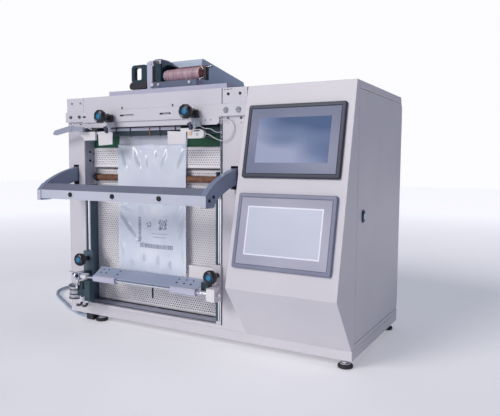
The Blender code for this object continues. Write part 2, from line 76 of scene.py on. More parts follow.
def add(name, data):
    made = bpy.data.objects.new(name, data)
    bpy.context.scene.collection.objects.link(made)
    return made


# The camera stands in front of the machine's right corner, a little above its middle.

def make_camera():
    data = bpy.data.cameras.new("camera")
    data.lens = 39.74
    data.sensor_width = 36
    camera = add("camera", data)
    turn = Matrix.Rotation(math.radians(29.09), 4, "Z")
    tilt = Matrix.Rotation(math.radians(90 - 4.58), 4, "X")
    roll = Matrix.Rotation(math.radians(0.383), 4, "Z")
    camera.matrix_world = Matrix.Translation((0.70246, -1.09504, 0.39185)) @ turn @ tilt @ roll
    bpy.context.scene.camera = camera


make_camera()


# Materials. Each has its colour, roughness and relief from nodes in the object's own space.

MATERIALS = {}
# A mix node's colour sockets, by number: its number and vector sockets have the same names.
MIX_A, MIX_B, MIX_RESULT = 6, 7, 2


def wire(tree, made, inputs):
    """Gives each input, by name or number, its value or another node's output."""
    for key, value in inputs.items():
        if isinstance(value, bpy.types.NodeSocket):
            tree.links.new(value, made.inputs[key])
        else:
            made.inputs[key].default_value = value


def node(tree, kind, inputs, **properties):
    made = tree.nodes.new(f"ShaderNode{kind}")
    for name, value in properties.items():
        setattr(made, name, value)
    wire(tree, made, inputs)
    return made


def ramp(tree, factor, stops):
    made = node(tree, "ValToRGB", {"Fac": factor})
    elements = made.color_ramp.elements
    while len(elements) < len(stops):
        elements.new(0.5)
    for element, (place, colour) in zip(elements, stops):
        element.position = place
        element.color = (*colour, 1)
    return made.outputs["Color"]


def new_material(name):
    made = bpy.data.materials.new(name)
    made.use_nodes = True
    MATERIALS[name] = made
    return made.node_tree, made.node_tree.nodes["Principled BSDF"]


def surface(
    name, dark, light, rough=(0.4, 0.5), scale=7, grain=900, relief=0.06, stretch=(1, 1, 1),
    edge=None, **sockets
):
    """Colour drifts between two tones, and a fine grain varies the gloss and stands out as relief.

    edge is the tone along sharp edges: partly wear and partly a painted highlight, in broken stretches. The
    other values go on the shader's own sockets.
    """
    tree, shader = new_material(name)
    place = node(tree, "TexCoord", {}).outputs["Object"]
    place = node(tree, "Mapping", {"Vector": place, "Scale": stretch}).outputs["Vector"]
    drift = node(tree, "TexNoise", {"Vector": place, "Scale": scale, "Detail": 4}).outputs["Fac"]
    fine = node(tree, "TexNoise", {"Vector": place, "Scale": grain, "Detail": 3}).outputs["Fac"]
    colour = ramp(tree, drift, [(0.3, dark), (0.7, light)])
    if edge:
        colour = painted_edge_highlight_and_wear(tree, colour, drift, edge)
    gloss = node(tree, "MapRange", {
        "Value": fine, "From Min": 0.3, "From Max": 0.7, "To Min": rough[0], "To Max": rough[1],
    }).outputs["Result"]
    bump = node(tree, "Bump", {"Height": fine, "Strength": relief, "Distance": 0.0004}).outputs["Normal"]
    wire(tree, shader, {"Base Color": colour, "Roughness": gloss, "Normal": bump})
    for socket, value in sockets.items():
        wire(tree, shader, {socket.replace("_", " ").title().replace("Ior", "IOR"): value})


def painted_edge_highlight_and_wear(tree, colour, drift, edge):
    """Mixes in the edge tone where the surface turns sharply, in broken stretches: partly wear, partly a
    painted highlight along the edges.
    """
    eased = node(tree, "Bevel", {"Radius": 0.0016}, samples=4).outputs["Normal"]
    flat = node(tree, "NewGeometry", {}).outputs["Normal"]
    same = node(tree, "VectorMath", {0: eased, 1: flat}, operation="DOT_PRODUCT").outputs["Value"]
    turn = node(tree, "MapRange", {"Value": same, "From Min": 0.995, "From Max": 0.9}).outputs["Result"]
    broken = node(tree, "Math", {0: turn, 1: drift}, operation="MULTIPLY").outputs["Value"]
    mix = node(tree, "Mix", {"Factor": broken, MIX_A: colour, MIX_B: (*edge, 1)}, data_type="RGBA")
    return mix.outputs[MIX_RESULT]


def brighten_far_floor():
    """The floor glows a little, and more with distance, so it runs out into the backdrop."""
    tree = MATERIALS["floor"].node_tree
    place = node(tree, "TexCoord", {}).outputs["Object"]
    away = node(tree, "VectorMath", {0: place}, operation="LENGTH").outputs["Value"]
    glow = node(tree, "MapRange", {
        "Value": away, "From Min": 0.9, "From Max": 3.5, "To Min": 0.22, "To Max": 0.62,
    }).outputs["Result"]
    wire(tree, tree.nodes["Principled BSDF"], {
        "Emission Color": (0.97, 0.97, 1, 1), "Emission Strength": glow,
    })


def multiply_add(tree, value, factor, term):
    return node(tree, "Math", {0: value, 1: factor, 2: term}, operation="MULTIPLY_ADD").outputs[0]


def screen_glass_painted_reflection(name, stops, glow):
    """A display behind glass: a soft sweep of tone across its own width and height, as a painted reflection
    on the glass.
    """
    tree, shader = new_material(name)
    place = node(tree, "TexCoord", {}).outputs["Generated"]
    cloud = node(tree, "TexNoise", {"Vector": place, "Scale": 1.3, "Detail": 1}).outputs["Fac"]
    split = node(tree, "SeparateXYZ", {0: place}).outputs
    tone = multiply_add(tree, cloud, 0.6, -0.22)
    tone = multiply_add(tree, split["X"], 0.42, tone)
    tone = multiply_add(tree, split["Z"], 0.42, tone)
    colour = ramp(tree, tone, stops)
    wire(tree, shader, {
        "Base Color": colour, "Emission Color": colour, "Emission Strength": glow, "Roughness": 0.5,
        "Specular IOR Level": 0.25,
    })


def make_materials():
    # The edge tones below are painted highlights along sharp edges, broken up like wear.
    surface("body_paint", (0.595, 0.575, 0.625), (0.64, 0.62, 0.665), (0.38, 0.48), edge=(0.78, 0.75, 0.77))
    surface("header_paint", (0.61, 0.595, 0.65), (0.655, 0.64, 0.69), (0.36, 0.46), edge=(0.8, 0.78, 0.8))
    surface("jaw_paint", (0.3, 0.325, 0.42), (0.355, 0.375, 0.47), (0.34, 0.45), edge=(0.58, 0.6, 0.68))
    surface("jaw_light", (0.5, 0.52, 0.62), (0.56, 0.575, 0.66), (0.34, 0.45), edge=(0.7, 0.7, 0.76))
    surface("plate", (0.9, 0.87, 0.91), (0.95, 0.93, 0.95), (0.36, 0.48))
    surface("shelf_paint", (0.31, 0.36, 0.49), (0.39, 0.44, 0.57), (0.3, 0.4))
    surface("lavender", (0.44, 0.44, 0.58), (0.52, 0.52, 0.64), (0.35, 0.5))
    surface(
        "steel", (0.42, 0.43, 0.47), (0.58, 0.59, 0.62), (0.2, 0.34), 30, 260, 0.05, (1, 1, 14),
        metallic=1,
    )
    surface(
        "chrome", (0.74, 0.77, 0.82), (0.84, 0.87, 0.91), (0.06, 0.14), 20, 300, 0.02, (30, 30, 1),
        metallic=1,
    )
    surface("black_plastic", (0.012, 0.014, 0.018), (0.022, 0.024, 0.03), (0.32, 0.45), relief=0.1)
    surface("black_gloss", (0.006, 0.007, 0.01), (0.014, 0.015, 0.02), (0.12, 0.22), relief=0.03)
    surface("screw_black", (0.01, 0.011, 0.015), (0.03, 0.03, 0.036), (0.25, 0.4), metallic=0.5)
    surface("dark_teal", (0.006, 0.022, 0.036), (0.014, 0.04, 0.06), (0.25, 0.4))
    surface("teal_paint", (0.016, 0.045, 0.065), (0.03, 0.07, 0.095), (0.3, 0.45))
    surface("painted_shade_teal", (0.055, 0.09, 0.13), (0.085, 0.13, 0.18), (0.35, 0.5), 5)
    surface("arm_paint", (0.19, 0.235, 0.34), (0.24, 0.285, 0.4), (0.34, 0.45), edge=(0.4, 0.46, 0.58))
    surface("jaw_slope", (0.155, 0.17, 0.23), (0.195, 0.21, 0.275), (0.4, 0.5))
    surface("hood", (0.46, 0.55, 0.68), (0.52, 0.61, 0.73), (0.34, 0.46), edge=(0.5, 0.54, 0.6))
    surface("slate", (0.018, 0.023, 0.045), (0.032, 0.038, 0.07), (0.42, 0.55), relief=0.08)
    surface("slate_mid", (0.1, 0.12, 0.19), (0.14, 0.165, 0.245), (0.3, 0.42))
    surface("slate_light", (0.17, 0.185, 0.27), (0.215, 0.23, 0.32), (0.38, 0.5), relief=0.08)
    surface("panel_face", (0.17, 0.19, 0.285), (0.215, 0.235, 0.33), (0.4, 0.5), relief=0.02)
    surface("panel_grey", (0.36, 0.36, 0.45), (0.42, 0.42, 0.51), (0.4, 0.5), relief=0.02)
    surface("rubber", (0.014, 0.014, 0.017), (0.03, 0.03, 0.034), (0.6, 0.8), relief=0.2)
    surface("roller_rubber", (0.018, 0.036, 0.048), (0.035, 0.062, 0.078), (0.45, 0.6), relief=0.1)
    surface("seal_sleeve", (0.13, 0.05, 0.026), (0.27, 0.12, 0.065), (0.35, 0.55), 90, relief=0.15)
    surface("silicone", (0.32, 0.1, 0.06), (0.42, 0.15, 0.09), (0.5, 0.7))
    surface("green_paint", (0, 0.065, 0.028), (0, 0.1, 0.045), (0.4, 0.5))
    surface("white_plastic", (0.7, 0.68, 0.7), (0.78, 0.76, 0.78), (0.3, 0.45), relief=0.05)
    surface("clear_plastic", (0.6, 0.63, 0.72), (0.72, 0.75, 0.82), (0.1, 0.2), 60, alpha=0.55, ior=1.46)
    surface("clear_tube", (0.62, 0.64, 0.7), (0.74, 0.75, 0.8), (0.12, 0.2), 60, alpha=0.6, ior=1.46)
    surface("fitting", (0.04, 0.04, 0.085), (0.08, 0.08, 0.14), (0.2, 0.35))
    surface("hose", (0.26, 0.31, 0.42), (0.42, 0.47, 0.57), (0.18, 0.3), 30, coat_weight=0.4)
    surface("knob_ring", (0, 0.018, 0.06), (0, 0.032, 0.09), (0.3, 0.4))
    surface("knob_blue", (0.005, 0.17, 0.33), (0.008, 0.23, 0.42), (0.3, 0.4), 60)
    surface("latch_blue", (0.02, 0.09, 0.16), (0.05, 0.16, 0.26), (0.2, 0.35))
    surface("copper", (0.35, 0.16, 0.1), (0.5, 0.24, 0.15), (0.25, 0.4), 60, metallic=0.8)
    surface("orange", (0.72, 0.4, 0.16), (0.82, 0.5, 0.24), (0.3, 0.4), 60)
    surface("red_ink", (0.3, 0.03, 0.02), (0.42, 0.06, 0.04), (0.4, 0.5), 60)
    surface("ribbon", (0.26, 0.13, 0.15), (0.58, 0.42, 0.48), (0.3, 0.45), 60, 240, 0.5, (5, 0.3, 0.3))
    surface("ribbon_dark", (0.07, 0.02, 0.02), (0.2, 0.05, 0.045), (0.3, 0.45), 60)
    surface("ink", (0.16, 0.17, 0.28), (0.25, 0.27, 0.4), (0.3, 0.45), 150, alpha=0.85)
    surface("floor", (0.84, 0.84, 0.86), (0.88, 0.88, 0.895), (0.6, 0.7), 3, 300, 0.02)
    brighten_far_floor()
    surface(
        "film", (0.74, 0.81, 0.94), (0.86, 0.91, 0.99), (0.14, 0.2), 14, 60, 0.01, alpha=0.86,
        ior=1.5, coat_weight=0.6, coat_roughness=0.12,
    )
    surface(
        "film_clear", (0.66, 0.7, 0.82), (0.8, 0.83, 0.92), (0.12, 0.2), 14, 60, 0.01, alpha=0.76,
        ior=1.5, coat_weight=0.5, coat_roughness=0.1,
    )
    # The dark display's sweep from pale to deep blue is a painted reflection on its glass.
    screen_glass_painted_reflection("screen_off_painted_reflection", [
        (0.3, (0.33, 0.37, 0.52)), (0.52, (0.15, 0.2, 0.34)), (0.74, (0.05, 0.1, 0.22)),
    ], 0)
    screen_glass_painted_reflection("screen_on", [(0.2, (0.51, 0.54, 0.63)), (0.8, (0.57, 0.6, 0.69))], 0.05)
    screen_glass_painted_reflection("screen_border", [(0.2, (0.78, 0.78, 0.88)), (0.8, (0.84, 0.84, 0.92))], 0.06)


make_materials()


# Shapes. A Solid gathers the closed forms of one piece, in millimetres of the machine's own frame.

def arc(centre, radius, start, end, steps):
    """Points along an arc, in degrees, with both of its ends."""
    angles = [math.radians(start + (end - start) * i / steps) for i in range(steps + 1)]
    return [(centre[0] + radius * math.cos(a), centre[1] + radius * math.sin(a)) for a in angles]


def rounded(x, y, radius, steps=5):
    """An outline with round corners, from two spans."""
    corners = ((x[1], y[1], 0), (x[0], y[1], 90), (x[0], y[0], 180), (x[1], y[0], 270))
    signs = ((-1, -1), (1, -1), (1, 1), (-1, 1))
    outline = []
    for (cx, cy, turn), (sx, sy) in zip(corners, signs):
        outline += arc((cx + sx * radius, cy + sy * radius), radius, turn, turn + 90, steps)
    return outline


def smooth(points, per_span):
    """Points on a smooth curve through the given ones."""
    ends = [points[0]] + list(points) + [points[-1]]
    result = []
    for a, b, c, d in zip(ends, ends[1:], ends[2:], ends[3:]):
        for i in range(per_span):
            t = i / per_span
            result.append(tuple(
                0.5 * (2 * q + (r - p) * t + (2 * p - 5 * q + 4 * r - s) * t ** 2
                       + (3 * q - p - 3 * r + s) * t ** 3)
                for p, q, r, s in zip(a, b, c, d)
            ))
    return result + [tuple(points[-1])]


def spread(axis, u, v, along):
    """Puts a point of an outline into space: u and v are the two other axes, in X, Y, Z order."""
    values = [u, v]
    values.insert("XYZ".index(axis), along)
    return Vector(values)


class Solid:
    def __init__(self, place=None):
        self.mesh = bmesh.new()
        self.finishes = []
        self.finish = 0
        self.place = place or Matrix.Identity(4)

    def use(self, finish):
        if finish not in self.finishes:
            self.finishes.append(finish)
        self.finish = self.finishes.index(finish)
        return self

    def face(self, corners):
        made = self.mesh.faces.new(corners)
        made.material_index = self.finish

    def sheet(self, grid):
        """Faces between the rows of a grid of vertices."""
        for first, second in zip(grid, grid[1:]):
            for i in range(len(first) - 1):
                self.face((first[i], first[i + 1], second[i + 1], second[i]))

    def loft(self, loops, closed=True):
        """Joins loops of points, each as long as the next. closed fills the first and last."""
        rings = [[self.mesh.verts.new(self.place @ Vector(p)) for p in loop] for loop in loops]
        for first, second in zip(rings, rings[1:]):
            for i in range(len(first)):
                j = (i + 1) % len(first)
                self.face((first[i], first[j], second[j], second[i]))
        if closed:
            self.face(rings[0])
            self.face(rings[-1])
        return self

    def prism(self, axis, outline, low, high):
        return self.loft([[spread(axis, u, v, along) for u, v in outline] for along in (low, high)])

    def box(self, x, y, z):
        return self.prism("Z", [(x[0], y[0]), (x[1], y[0]), (x[1], y[1]), (x[0], y[1])], *z)

    def turned(self, axis, centre, profile, sides=32, start=0, way=1, lobes=0, depth=0):
        """A solid of revolution from (radius, distance along the axis from start), with optional lobes.

        way is -1 where the distances run backwards.
        """
        loops = []
        for radius, along in profile:
            loop = []
            for i in range(sides):
                angle = 2 * math.pi * i / sides
                r = radius * (1 + depth * math.cos(lobes * angle)) if lobes else radius
                u = centre[0] + r * math.cos(angle)
                v = centre[1] + r * math.sin(angle)
                loop.append(spread(axis, u, v, start + way * along))
            loops.append(loop)
        return self.loft(loops)

    def tube(self, points, radius, sides=12):
        """A round tube along points."""
        points = [Vector(p) for p in points]
        side = None
        loops = []
        for i, point in enumerate(points):
            ahead = (points[min(i + 1, len(points) - 1)] - points[max(i - 1, 0)]).normalized()
            if side is None:
                side = ahead.orthogonal().normalized()
            side = (side - ahead * side.dot(ahead)).normalized()
            other = ahead.cross(side)
            loops.append([
                point + (side * math.cos(a) + other * math.sin(a)) * radius
                for a in (2 * math.pi * k / sides for k in range(sides))
            ])
        return self.loft(loops)

    def screw(self, x, y, z, radius, height):
        """A button-head screw on a front face at y, looking out towards the operator."""
        finish = self.finish
        self.turned("Y", (x, z), [
            (radius, 0), (radius, height * 0.45), (radius * 0.86, height * 0.85), (radius * 0.6, height),
            (radius * 0.46, height), (radius * 0.46, height * 0.45),
        ], 20, y, -1)
        self.use("screw_black")
        self.turned("Y", (x, z), [(radius * 0.44, height * 0.3), (radius * 0.44, height * 0.55)], 6, y, -1)
        self.finish = finish

    def dome(self, x, y, z, radius, height):
        """A closed button head on a front face at y."""
        self.turned("Y", (x, z), [
            (radius, 0), (radius, height * 0.5), (radius * 0.88, height * 0.85), (radius * 0.5, height),
        ], 20, y, -1)

    def side_head(self, x, y, z, radius, height, outward=1):
        """A socket head on a side face at x. outward is the way that the face looks, 1 or -1."""
        self.turned("X", (y, z), [
            (radius, -0.2), (radius, height * 0.6), (radius * 0.7, height), (radius * 0.45, height),
            (radius * 0.45, height * 0.3),
        ], 20, x, outward)

    def build(self, name):
        """Makes the object, at its real size and place, with its materials."""
        bmesh.ops.recalc_face_normals(self.mesh, faces=self.mesh.faces)
        data = bpy.data.meshes.new(name)
        self.mesh.transform(Matrix.Translation(ORIGIN) @ Matrix.Scale(MM, 4))
        self.mesh.to_mesh(data)
        self.mesh.free()
        for finish in self.finishes:
            data.materials.append(MATERIALS[finish])
        return add(name, data)

    def done(self, name, body, slot, bevel=0, replaces=()):
        """Makes the piece, with bevelled or sharp edges, and gives it the body that it rides on."""
        made = self.build(name)
        made.data.shade_smooth()
        if bevel:
            soften(made, bevel)
        else:
            made.data.set_sharp_from_angle(angle=SHARP)
        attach(made, body)
        if replaces:
            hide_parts(*replaces)
        return made


def soften(thing, width, segments=2):
    """Rounds an object's hard edges with a bevel, in millimetres, and keeps its flat faces flat."""
    bevel = thing.modifiers.new("soft_edges", "BEVEL")
    bevel.width = width * MM
    bevel.segments = segments
    bevel.limit_method = "ANGLE"
    bevel.angle_limit = SHARP
    bevel.use_clamp_overlap = True
    bevel.harden_normals = True


# The air hose lies on the surface that the machine stands on. The points repeat part.py's route.

HOSE_DIAMETER = 9.8
HOSE_Z = -13
HOSE_ROUTE = (
    (40, 17), (33, 17), (20, 18), (0, 22.5), (-26, 32), (-60, 49.5), (-111, 79),
    (-163, 109), (-206, 138), (-237, 172), (-250, 212), (-243, 258),
    (-217, 302), (-176, 341), (-126, 370), (-72, 385), (-24, 386),
    (12, 375), (33, 355), (39.6, 341), (40, 336), (40, 332), (40, 328.1),
)


def make_hose():
    curve = bpy.data.curves.new("hose", "CURVE")
    curve.dimensions = "3D"
    curve.bevel_depth = HOSE_DIAMETER / 2 * MM
    curve.bevel_resolution = 8
    curve.use_fill_caps = True
    route = smooth(HOSE_ROUTE, 8)
    spline = curve.splines.new("POLY")
    spline.points.add(len(route) - 1)
    for point, (x, y) in zip(spline.points, route):
        point.co = (*at(x, y, HOSE_Z), 1)
    curve.materials.append(MATERIALS["hose"])
    hose = add("hose", curve)
    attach(hose, "machine")
    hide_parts("air_hose")
    x, y = HOSE_ROUTE[0]


make_hose()


# CAD nodes whose shape is right keep it, and get a material and softened edges.

NODE_FINISHES = {
    "body_paint": (
        "base_frame", "left_side_panel", "front_panel", "rear_panel", "top_panel", "cabinet_shell",
        "side_door", "right_shelf_slide",
    ),
    "arm_paint": ("jaw_arm_left", "jaw_arm_right"),
    "header_paint": ("header_plate", "slotted_beam"),
    "jaw_paint": ("nip_lever",),
    "green_paint": ("green_guide_bar",),
    "steel": ("jaw_shaft", "jaw_bearing_left", "jaw_bearing_right", "power_supply"),
    "chrome": ("left_rail", "right_rail", "shelf_rod"),
    "roller_rubber": ("feed_roller", "nip_roller"),
    "silicone": ("jaw_pad",),
    "black_plastic": ("feed_motor", "jaw_gearmotor", "controller", "power_inlet", "air_fitting"),
    "hood": ("printer_hood",),
    "lavender": ("printer_frame",),
}
# Nodes with a bevel of their own, which gets one more step than the plain one.
NODE_BEVELS = {
    "nip_lever": 2.4, "jaw_arm_left": 1, "jaw_arm_right": 1, "cabinet_shell": 1.2,
    "left_side_panel": 0.7, "front_panel": 0.3, "header_plate": 0.3, "slotted_beam": 0.35,
    "base_frame": 0.8, "printer_hood": 1.6, "side_door": 0.6, "jaw_gearmotor": 1.5, "feed_motor": 1,
}
PLAIN_BEVEL = 0.3


def finish_nodes():
    for finish, names in NODE_FINISHES.items():
        for name in names:
            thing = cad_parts[name]
            thing.data.materials.clear()
            thing.data.materials.append(MATERIALS[finish])
            if "custom_normal" in thing.data.attributes:
                thing.data.attributes.remove(thing.data.attributes["custom_normal"])
            thing.data.shade_smooth()
            weld = thing.modifiers.new("weld", "WELD")
            weld.merge_threshold = 0.00001
            soften(thing, NODE_BEVELS.get(name, PLAIN_BEVEL), 3 if name in NODE_BEVELS else 2)


finish_nodes()


# Knobs.

KNOB_STEM = 5.9


def make_knob(name, turn):
    """A clamp knob with a lobed grip, a dark blue ring and a bright cap. turn is its pointer's angle."""
    low, high = span(name)
    x, z = middle(name).x, middle(name).z
    face = low.y
    r = (high.x - low.x) / 2

    def part(finish, shares, sides, ends=(), **lobes):
        """A turned part from radii as shares of the knob's own, and how far each lies behind its face."""
        profile = [(r * share, along) for share, along in shares] + list(ends)
        solid.use(finish).turned("Y", (x, z), profile, sides, face, **lobes)

    solid = Solid()
    part("black_gloss", (
        (0.6, 1.6), (0.66, 0.4), (0.74, 0), (0.86, 0.6), (0.95, 2.2), (0.985, 4.5), (0.985, 9.5),
        (0.93, 12.5), (0.8, 14.5), (0.52, 16), (0.45, 19),
    ), 80, ((KNOB_STEM, 19.5), (KNOB_STEM, high.y - face)), lobes=10, depth=0.014)
    part("knob_ring", ((0.63, 3), (0.63, 1), (0.56, 0.4), (0.3, 0.4)), 48)
    part("knob_blue", ((0.37, 2), (0.37, 0.5), (0.33, 0.15), (0.18, 0.02)), 40, ((0.6, 0),))
    pointer = arc((x, z), r - 1.4, turn, turn, 1)[0]
    solid.use("black_gloss").turned("Y", pointer, [(1, 4.6), (1.35, 5), (1.35, 9), (1, 9.4)], 12, face)
    solid.done(f"{name}_grip", name, "black_plastic", replaces=(name,))


for knob, turn in (
    ("left_guide_knob", 200), ("right_guide_knob", 160), ("left_shelf_knob", 120), ("right_shelf_knob", 55),
):
    make_knob(knob, turn)


# The perforated guide plates: rows of holes in a staggered pattern, in real sheet.

PITCH = 6
HOLE_RADIUS = 1.7
PLATE_MARGIN = 4


def make_perforated(name):
    low, high = span(name)
    half = PITCH / 2
    rise = PITCH * math.sqrt(3) / 2
    columns = int((high.x - low.x - 2 * PLATE_MARGIN) / half)
    rows = int((high.z - low.z - 2 * PLATE_MARGIN) / rise)
    left = (low.x + high.x - columns * half) / 2
    bottom = (low.z + high.z - rows * rise) / 2
    xs = [low.x] + [left + i * half for i in range(columns + 1)] + [high.x]
    zs = [low.z] + [bottom + j * rise for j in range(rows + 1)] + [high.z]
    solid = Solid().use("plate")
    grid = [[solid.mesh.verts.new((x, low.y, z)) for x in xs] for z in zs]
    for below, above, z, next_z in zip(grid, grid[1:], zs, zs[1:]):
        border = below is grid[0] or above is grid[-1]
        # Every other row starts its holes one step later.
        first = 1 if border or zs.index(z) % 2 == 0 else 2
        i = 0
        while i <= columns + 1:
            if border or i < first or i >= columns:
                solid.face((below[i], below[i + 1], above[i + 1], above[i]))
                i += 1
                continue
            hole = [
                solid.mesh.verts.new((u, low.y, v))
                for u, v in arc((xs[i + 1], (z + next_z) / 2), HOLE_RADIUS, 210, 510, 5)
            ]
            around = (*below[i:i + 3], above[i + 2], above[i + 1], above[i])
            for k in range(6):
                m = (k + 1) % 6
                solid.face((around[k], around[m], hole[m], hole[k]))
            i += 2
    made = solid.done(f"{name}_perforated", "machine", "plate_steel", replaces=(name,))
    thick = made.modifiers.new("sheet", "SOLIDIFY")
    thick.thickness = (high.y - low.y) * MM
    thick.offset = -1


make_perforated("lower_guide_plate")
make_perforated("upper_guide_plate")


# The sealing roller's ribbed sleeve, between two black flanges.

def make_seal_roller():
    low, high = span("seal_roller")
    place = middle("seal_roller").yz
    flange = (high.z - low.z) / 2
    solid = Solid()
    solid.use("steel").turned("X", place, [(3.9, low.x), (3.9, high.x)], 20)
    for start in (60, 433):
        solid.use("black_plastic").turned("X", place, [
            (5, 0), (flange - 0.5, 0), (flange, 0.8), (flange, 3.2), (flange - 1.8, 4), (flange - 1.8, 6),
            (flange - 0.6, 7), (flange - 0.6, 9), (5, 9),
        ], 32, start)
    profile = [(5, -0.8)]
    for rib in range(0, 360, 5):
        profile += [(6.6, rib), (7.5, rib + 0.9), (7.5, rib + 3.1), (6.6, rib + 4)]
    profile.append((5, 362.8))
    solid.use("seal_sleeve").turned("X", place, profile, 24, 70)
    solid.done("seal_roller_sleeve", "seal_roller", "seal_sleeve", replaces=("seal_roller",))


make_seal_roller()


# The poly bag: a back film up to the rollers and a front film whose mouth hangs open.

BAG_LOW, BAG_HIGH = span("poly_bag")
BAG_WIDTH = BAG_HIGH.x - BAG_LOW.x
BAG_MOUTH = 417
BAG_TOP = 441
# Over the knee both films lean back towards the rollers, by this much for each millimetre of height.
BAG_KNEE = 352
BAG_LEAN = 0.0775
# The closed jaw meets the films at this height, so they stay flat there.
SEAL_Z = 338
# Each crease: start and end in hundredths of the width and height, its rise and breadth in millimetres.
CREASES = (
    ((3, 98), (13, 80), 5, 4.2), ((22, 97), (34, 80), 5, 4.6), ((42, 90), (47, 76), 3.6, 3.6),
    ((49, 80), (52, 64), 4, 3.4), ((70, 95), (63, 80), 3, 4.6), ((95, 96), (86, 80), 4.4, 4.6),
    ((98, 84), (90, 66), 3.8, 4.2), ((10, 80), (30, 68), 2.6, 5.6), ((80, 76), (78, 64), 3, 4),
    ((30, 74), (26, 60), 2.4, 4.4), ((2, 46), (30, 24.5), 5.2, 3.4), ((4, 50), (26, 48), 3.6, 3.8),
    ((3, 56), (14, 53), 3.6, 4), ((30, 24.5), (46, 24), 2.4, 3.2), ((98, 46), (90, 30), 4.4, 4.4),
    ((92, 52), (84, 38), 2.6, 5), ((38, 15), (39, 9), 3.6, 3.4), ((60, 13.5), (60, 7), 3.6, 3.4),
    ((77, 11), (77, 5), 3.4, 3.2), ((20, 10), (22, 4), 2.8, 3.6), ((4, 26), (12, 12), 2.4, 5.4),
    ((92, 22), (96, 8), 2.8, 4.2), ((60, 62), (70, 55), 2, 5.6), ((55, 95), (58, 88), 2.6, 3.6),
)
CREASE_GAIN = 1.3


def bag_lean(z):
    return max(0, z - BAG_KNEE) * BAG_LEAN


def bag_free(z):
    """How free a film is at a height: 0 where the jaw seals it, and 1 well away from there."""
    return min(1, max(abs(z - SEAL_Z) - 14, 0) / 22)


def bag_side(x):
    """The distance to the bag's nearer side."""
    return min(x - BAG_LOW.x, BAG_HIGH.x - x)


def bag_front(x, z):
    """Where the front film lies, as Y in millimetres, at a place on the bag."""
    tall = BAG_MOUTH - BAG_LOW.z
    side = bag_side(x)
    relief = 0
    for start, end, height, breadth in CREASES:
        a = Vector((start[0] / 100 * BAG_WIDTH, start[1] / 100 * tall))
        b = Vector((end[0] / 100 * BAG_WIDTH, end[1] / 100 * tall))
        p = Vector((x - BAG_LOW.x, z - BAG_LOW.z)) - a
        along = b - a
        t = max(0, min(1, p.dot(along) / along.length_squared))
        away = (p - along * t).length
        rise = CREASE_GAIN * height * math.sin(math.pi * (0.12 + 0.76 * t))
        relief += rise * math.exp(-(away / breadth) ** 2)
    place = Vector((x * 0.02, 3.1, z * 0.014))
    relief += 2.4 * noise.noise(place) + 1.3 * noise.noise(place * 3.1)
    relief *= min(1, 0.25 + side / 14)
    relief += 1.2 * min(1, side / 30) * math.sin(math.pi * min(1, (z - BAG_LOW.z) / 225))
    if z > BAG_MOUTH - 14:
        mouth = (z - BAG_MOUTH + 14) / 14
        relief += mouth ** 2 * (2.4 + 1.6 * math.cos((x - BAG_LOW.x) / BAG_WIDTH * 4 * math.pi))
    return BAG_LOW.y + bag_lean(z) - relief * bag_free(z)


def bag_back(x, z):
    """Where the back film lies: behind the front one, and flat again near the rollers."""
    place = Vector((x * 0.018, 7.7, z * 0.015))
    free = bag_free(z) * (1 if z < 390 else max(0, (415 - z) / 25))
    wave = 1.2 + 1.6 * noise.noise(place) + 0.6 * noise.noise(place * 4)
    return BAG_LOW.y + 1.1 + bag_lean(z) + free * wave * min(1, bag_side(x) / 14)


def make_film(name, finish, high, depth, dip):
    """One film as a grid that follows depth(x, z). dip is how far its top edge droops in two places."""
    solid = Solid().use(finish)
    across, up = 90, int((high - BAG_LOW.z) / 2.4)
    grid = []
    for j in range(up + 1):
        z = BAG_LOW.z + (high - BAG_LOW.z) * j / up
        row = []
        for i in range(across + 1):
            share = i / across
            x = BAG_LOW.x + BAG_WIDTH * share
            drop = dip * math.sin(share * 2 * math.pi) ** 2 if j == up else 0
            row.append(solid.mesh.verts.new((x, depth(x, z), z - drop)))
        grid.append(row)
    solid.sheet(grid)
    return solid.done(name, "machine", "film", replaces=("poly_bag",))


def make_bag():
    front = make_film("bag_front_film", "film", BAG_MOUTH, bag_front, 2.5)
    back = make_film("bag_back_film", "film_clear", BAG_TOP, bag_back, 0)


make_bag()


def print_bar(solid, x, z, steps=1):
    """A printed bar that follows the front film, cut into steps along its longer side."""
    rows = []
    for i in range(steps + 1):
        t = i / steps
        if x[1] - x[0] > z[1] - z[0]:
            u = x[0] + (x[1] - x[0]) * t
            pair = ((u, z[0]), (u, z[1]))
        else:
            v = z[0] + (z[1] - z[0]) * t
            pair = ((x[0], v), (x[1], v))
        rows.append([solid.mesh.verts.new((p, bag_front(p, q) - 0.25, q)) for p, q in pair])
    solid.sheet(rows)


def make_print():
    """A delivery bag's usual marks: two bar codes, a block code, a loop arrow and two ruled lines."""
    left = BAG_LOW.x + 5
    low = BAG_LOW.z - 5
    random.seed(7)
    marks = Solid().use("ink")
    z = low + 77
    while z < low + 134:
        thick = random.choice((0.7, 1.1, 1.9))
        print_bar(marks, (left + 59, left + 67), (z, z + thick), 4)
        z += thick + random.choice((0.7, 1.1))
    x = left + 62
    while x < left + 158:
        thick = random.choice((0.7, 1.1, 1.8))
        print_bar(marks, (x, x + thick), (low + 63, low + 73), 4)
        x += thick + random.choice((0.8, 1.3))
    cell = 2.1
    for row in range(12):
        for column in range(12):
            if random.random() < 0.5:
                u = left + 119 + column * cell
                v = low + 107 + row * cell
                print_bar(marks, (u, u + cell), (v, v + cell))
    print_bar(marks, (left + 98, left + 146), (low + 97.4, low + 98.3), 12)
    print_bar(marks, (left + 102, left + 140), (low + 89.4, low + 90.3), 10)
    loop = arc((left + 90, low + 119), 5.5, -150, 100, 10)
    for (x0, z0), (x1, z1) in zip(loop, loop[1:]):
        print_bar(marks, (min(x0, x1) - 0.5, max(x0, x1) + 0.5), (min(z0, z1) - 0.5, max(z0, z1) + 0.5))
    print_bar(marks, (left + 83, left + 86), (low + 119, low + 122))
    marks.done("bag_print", "machine", "film")


make_print()


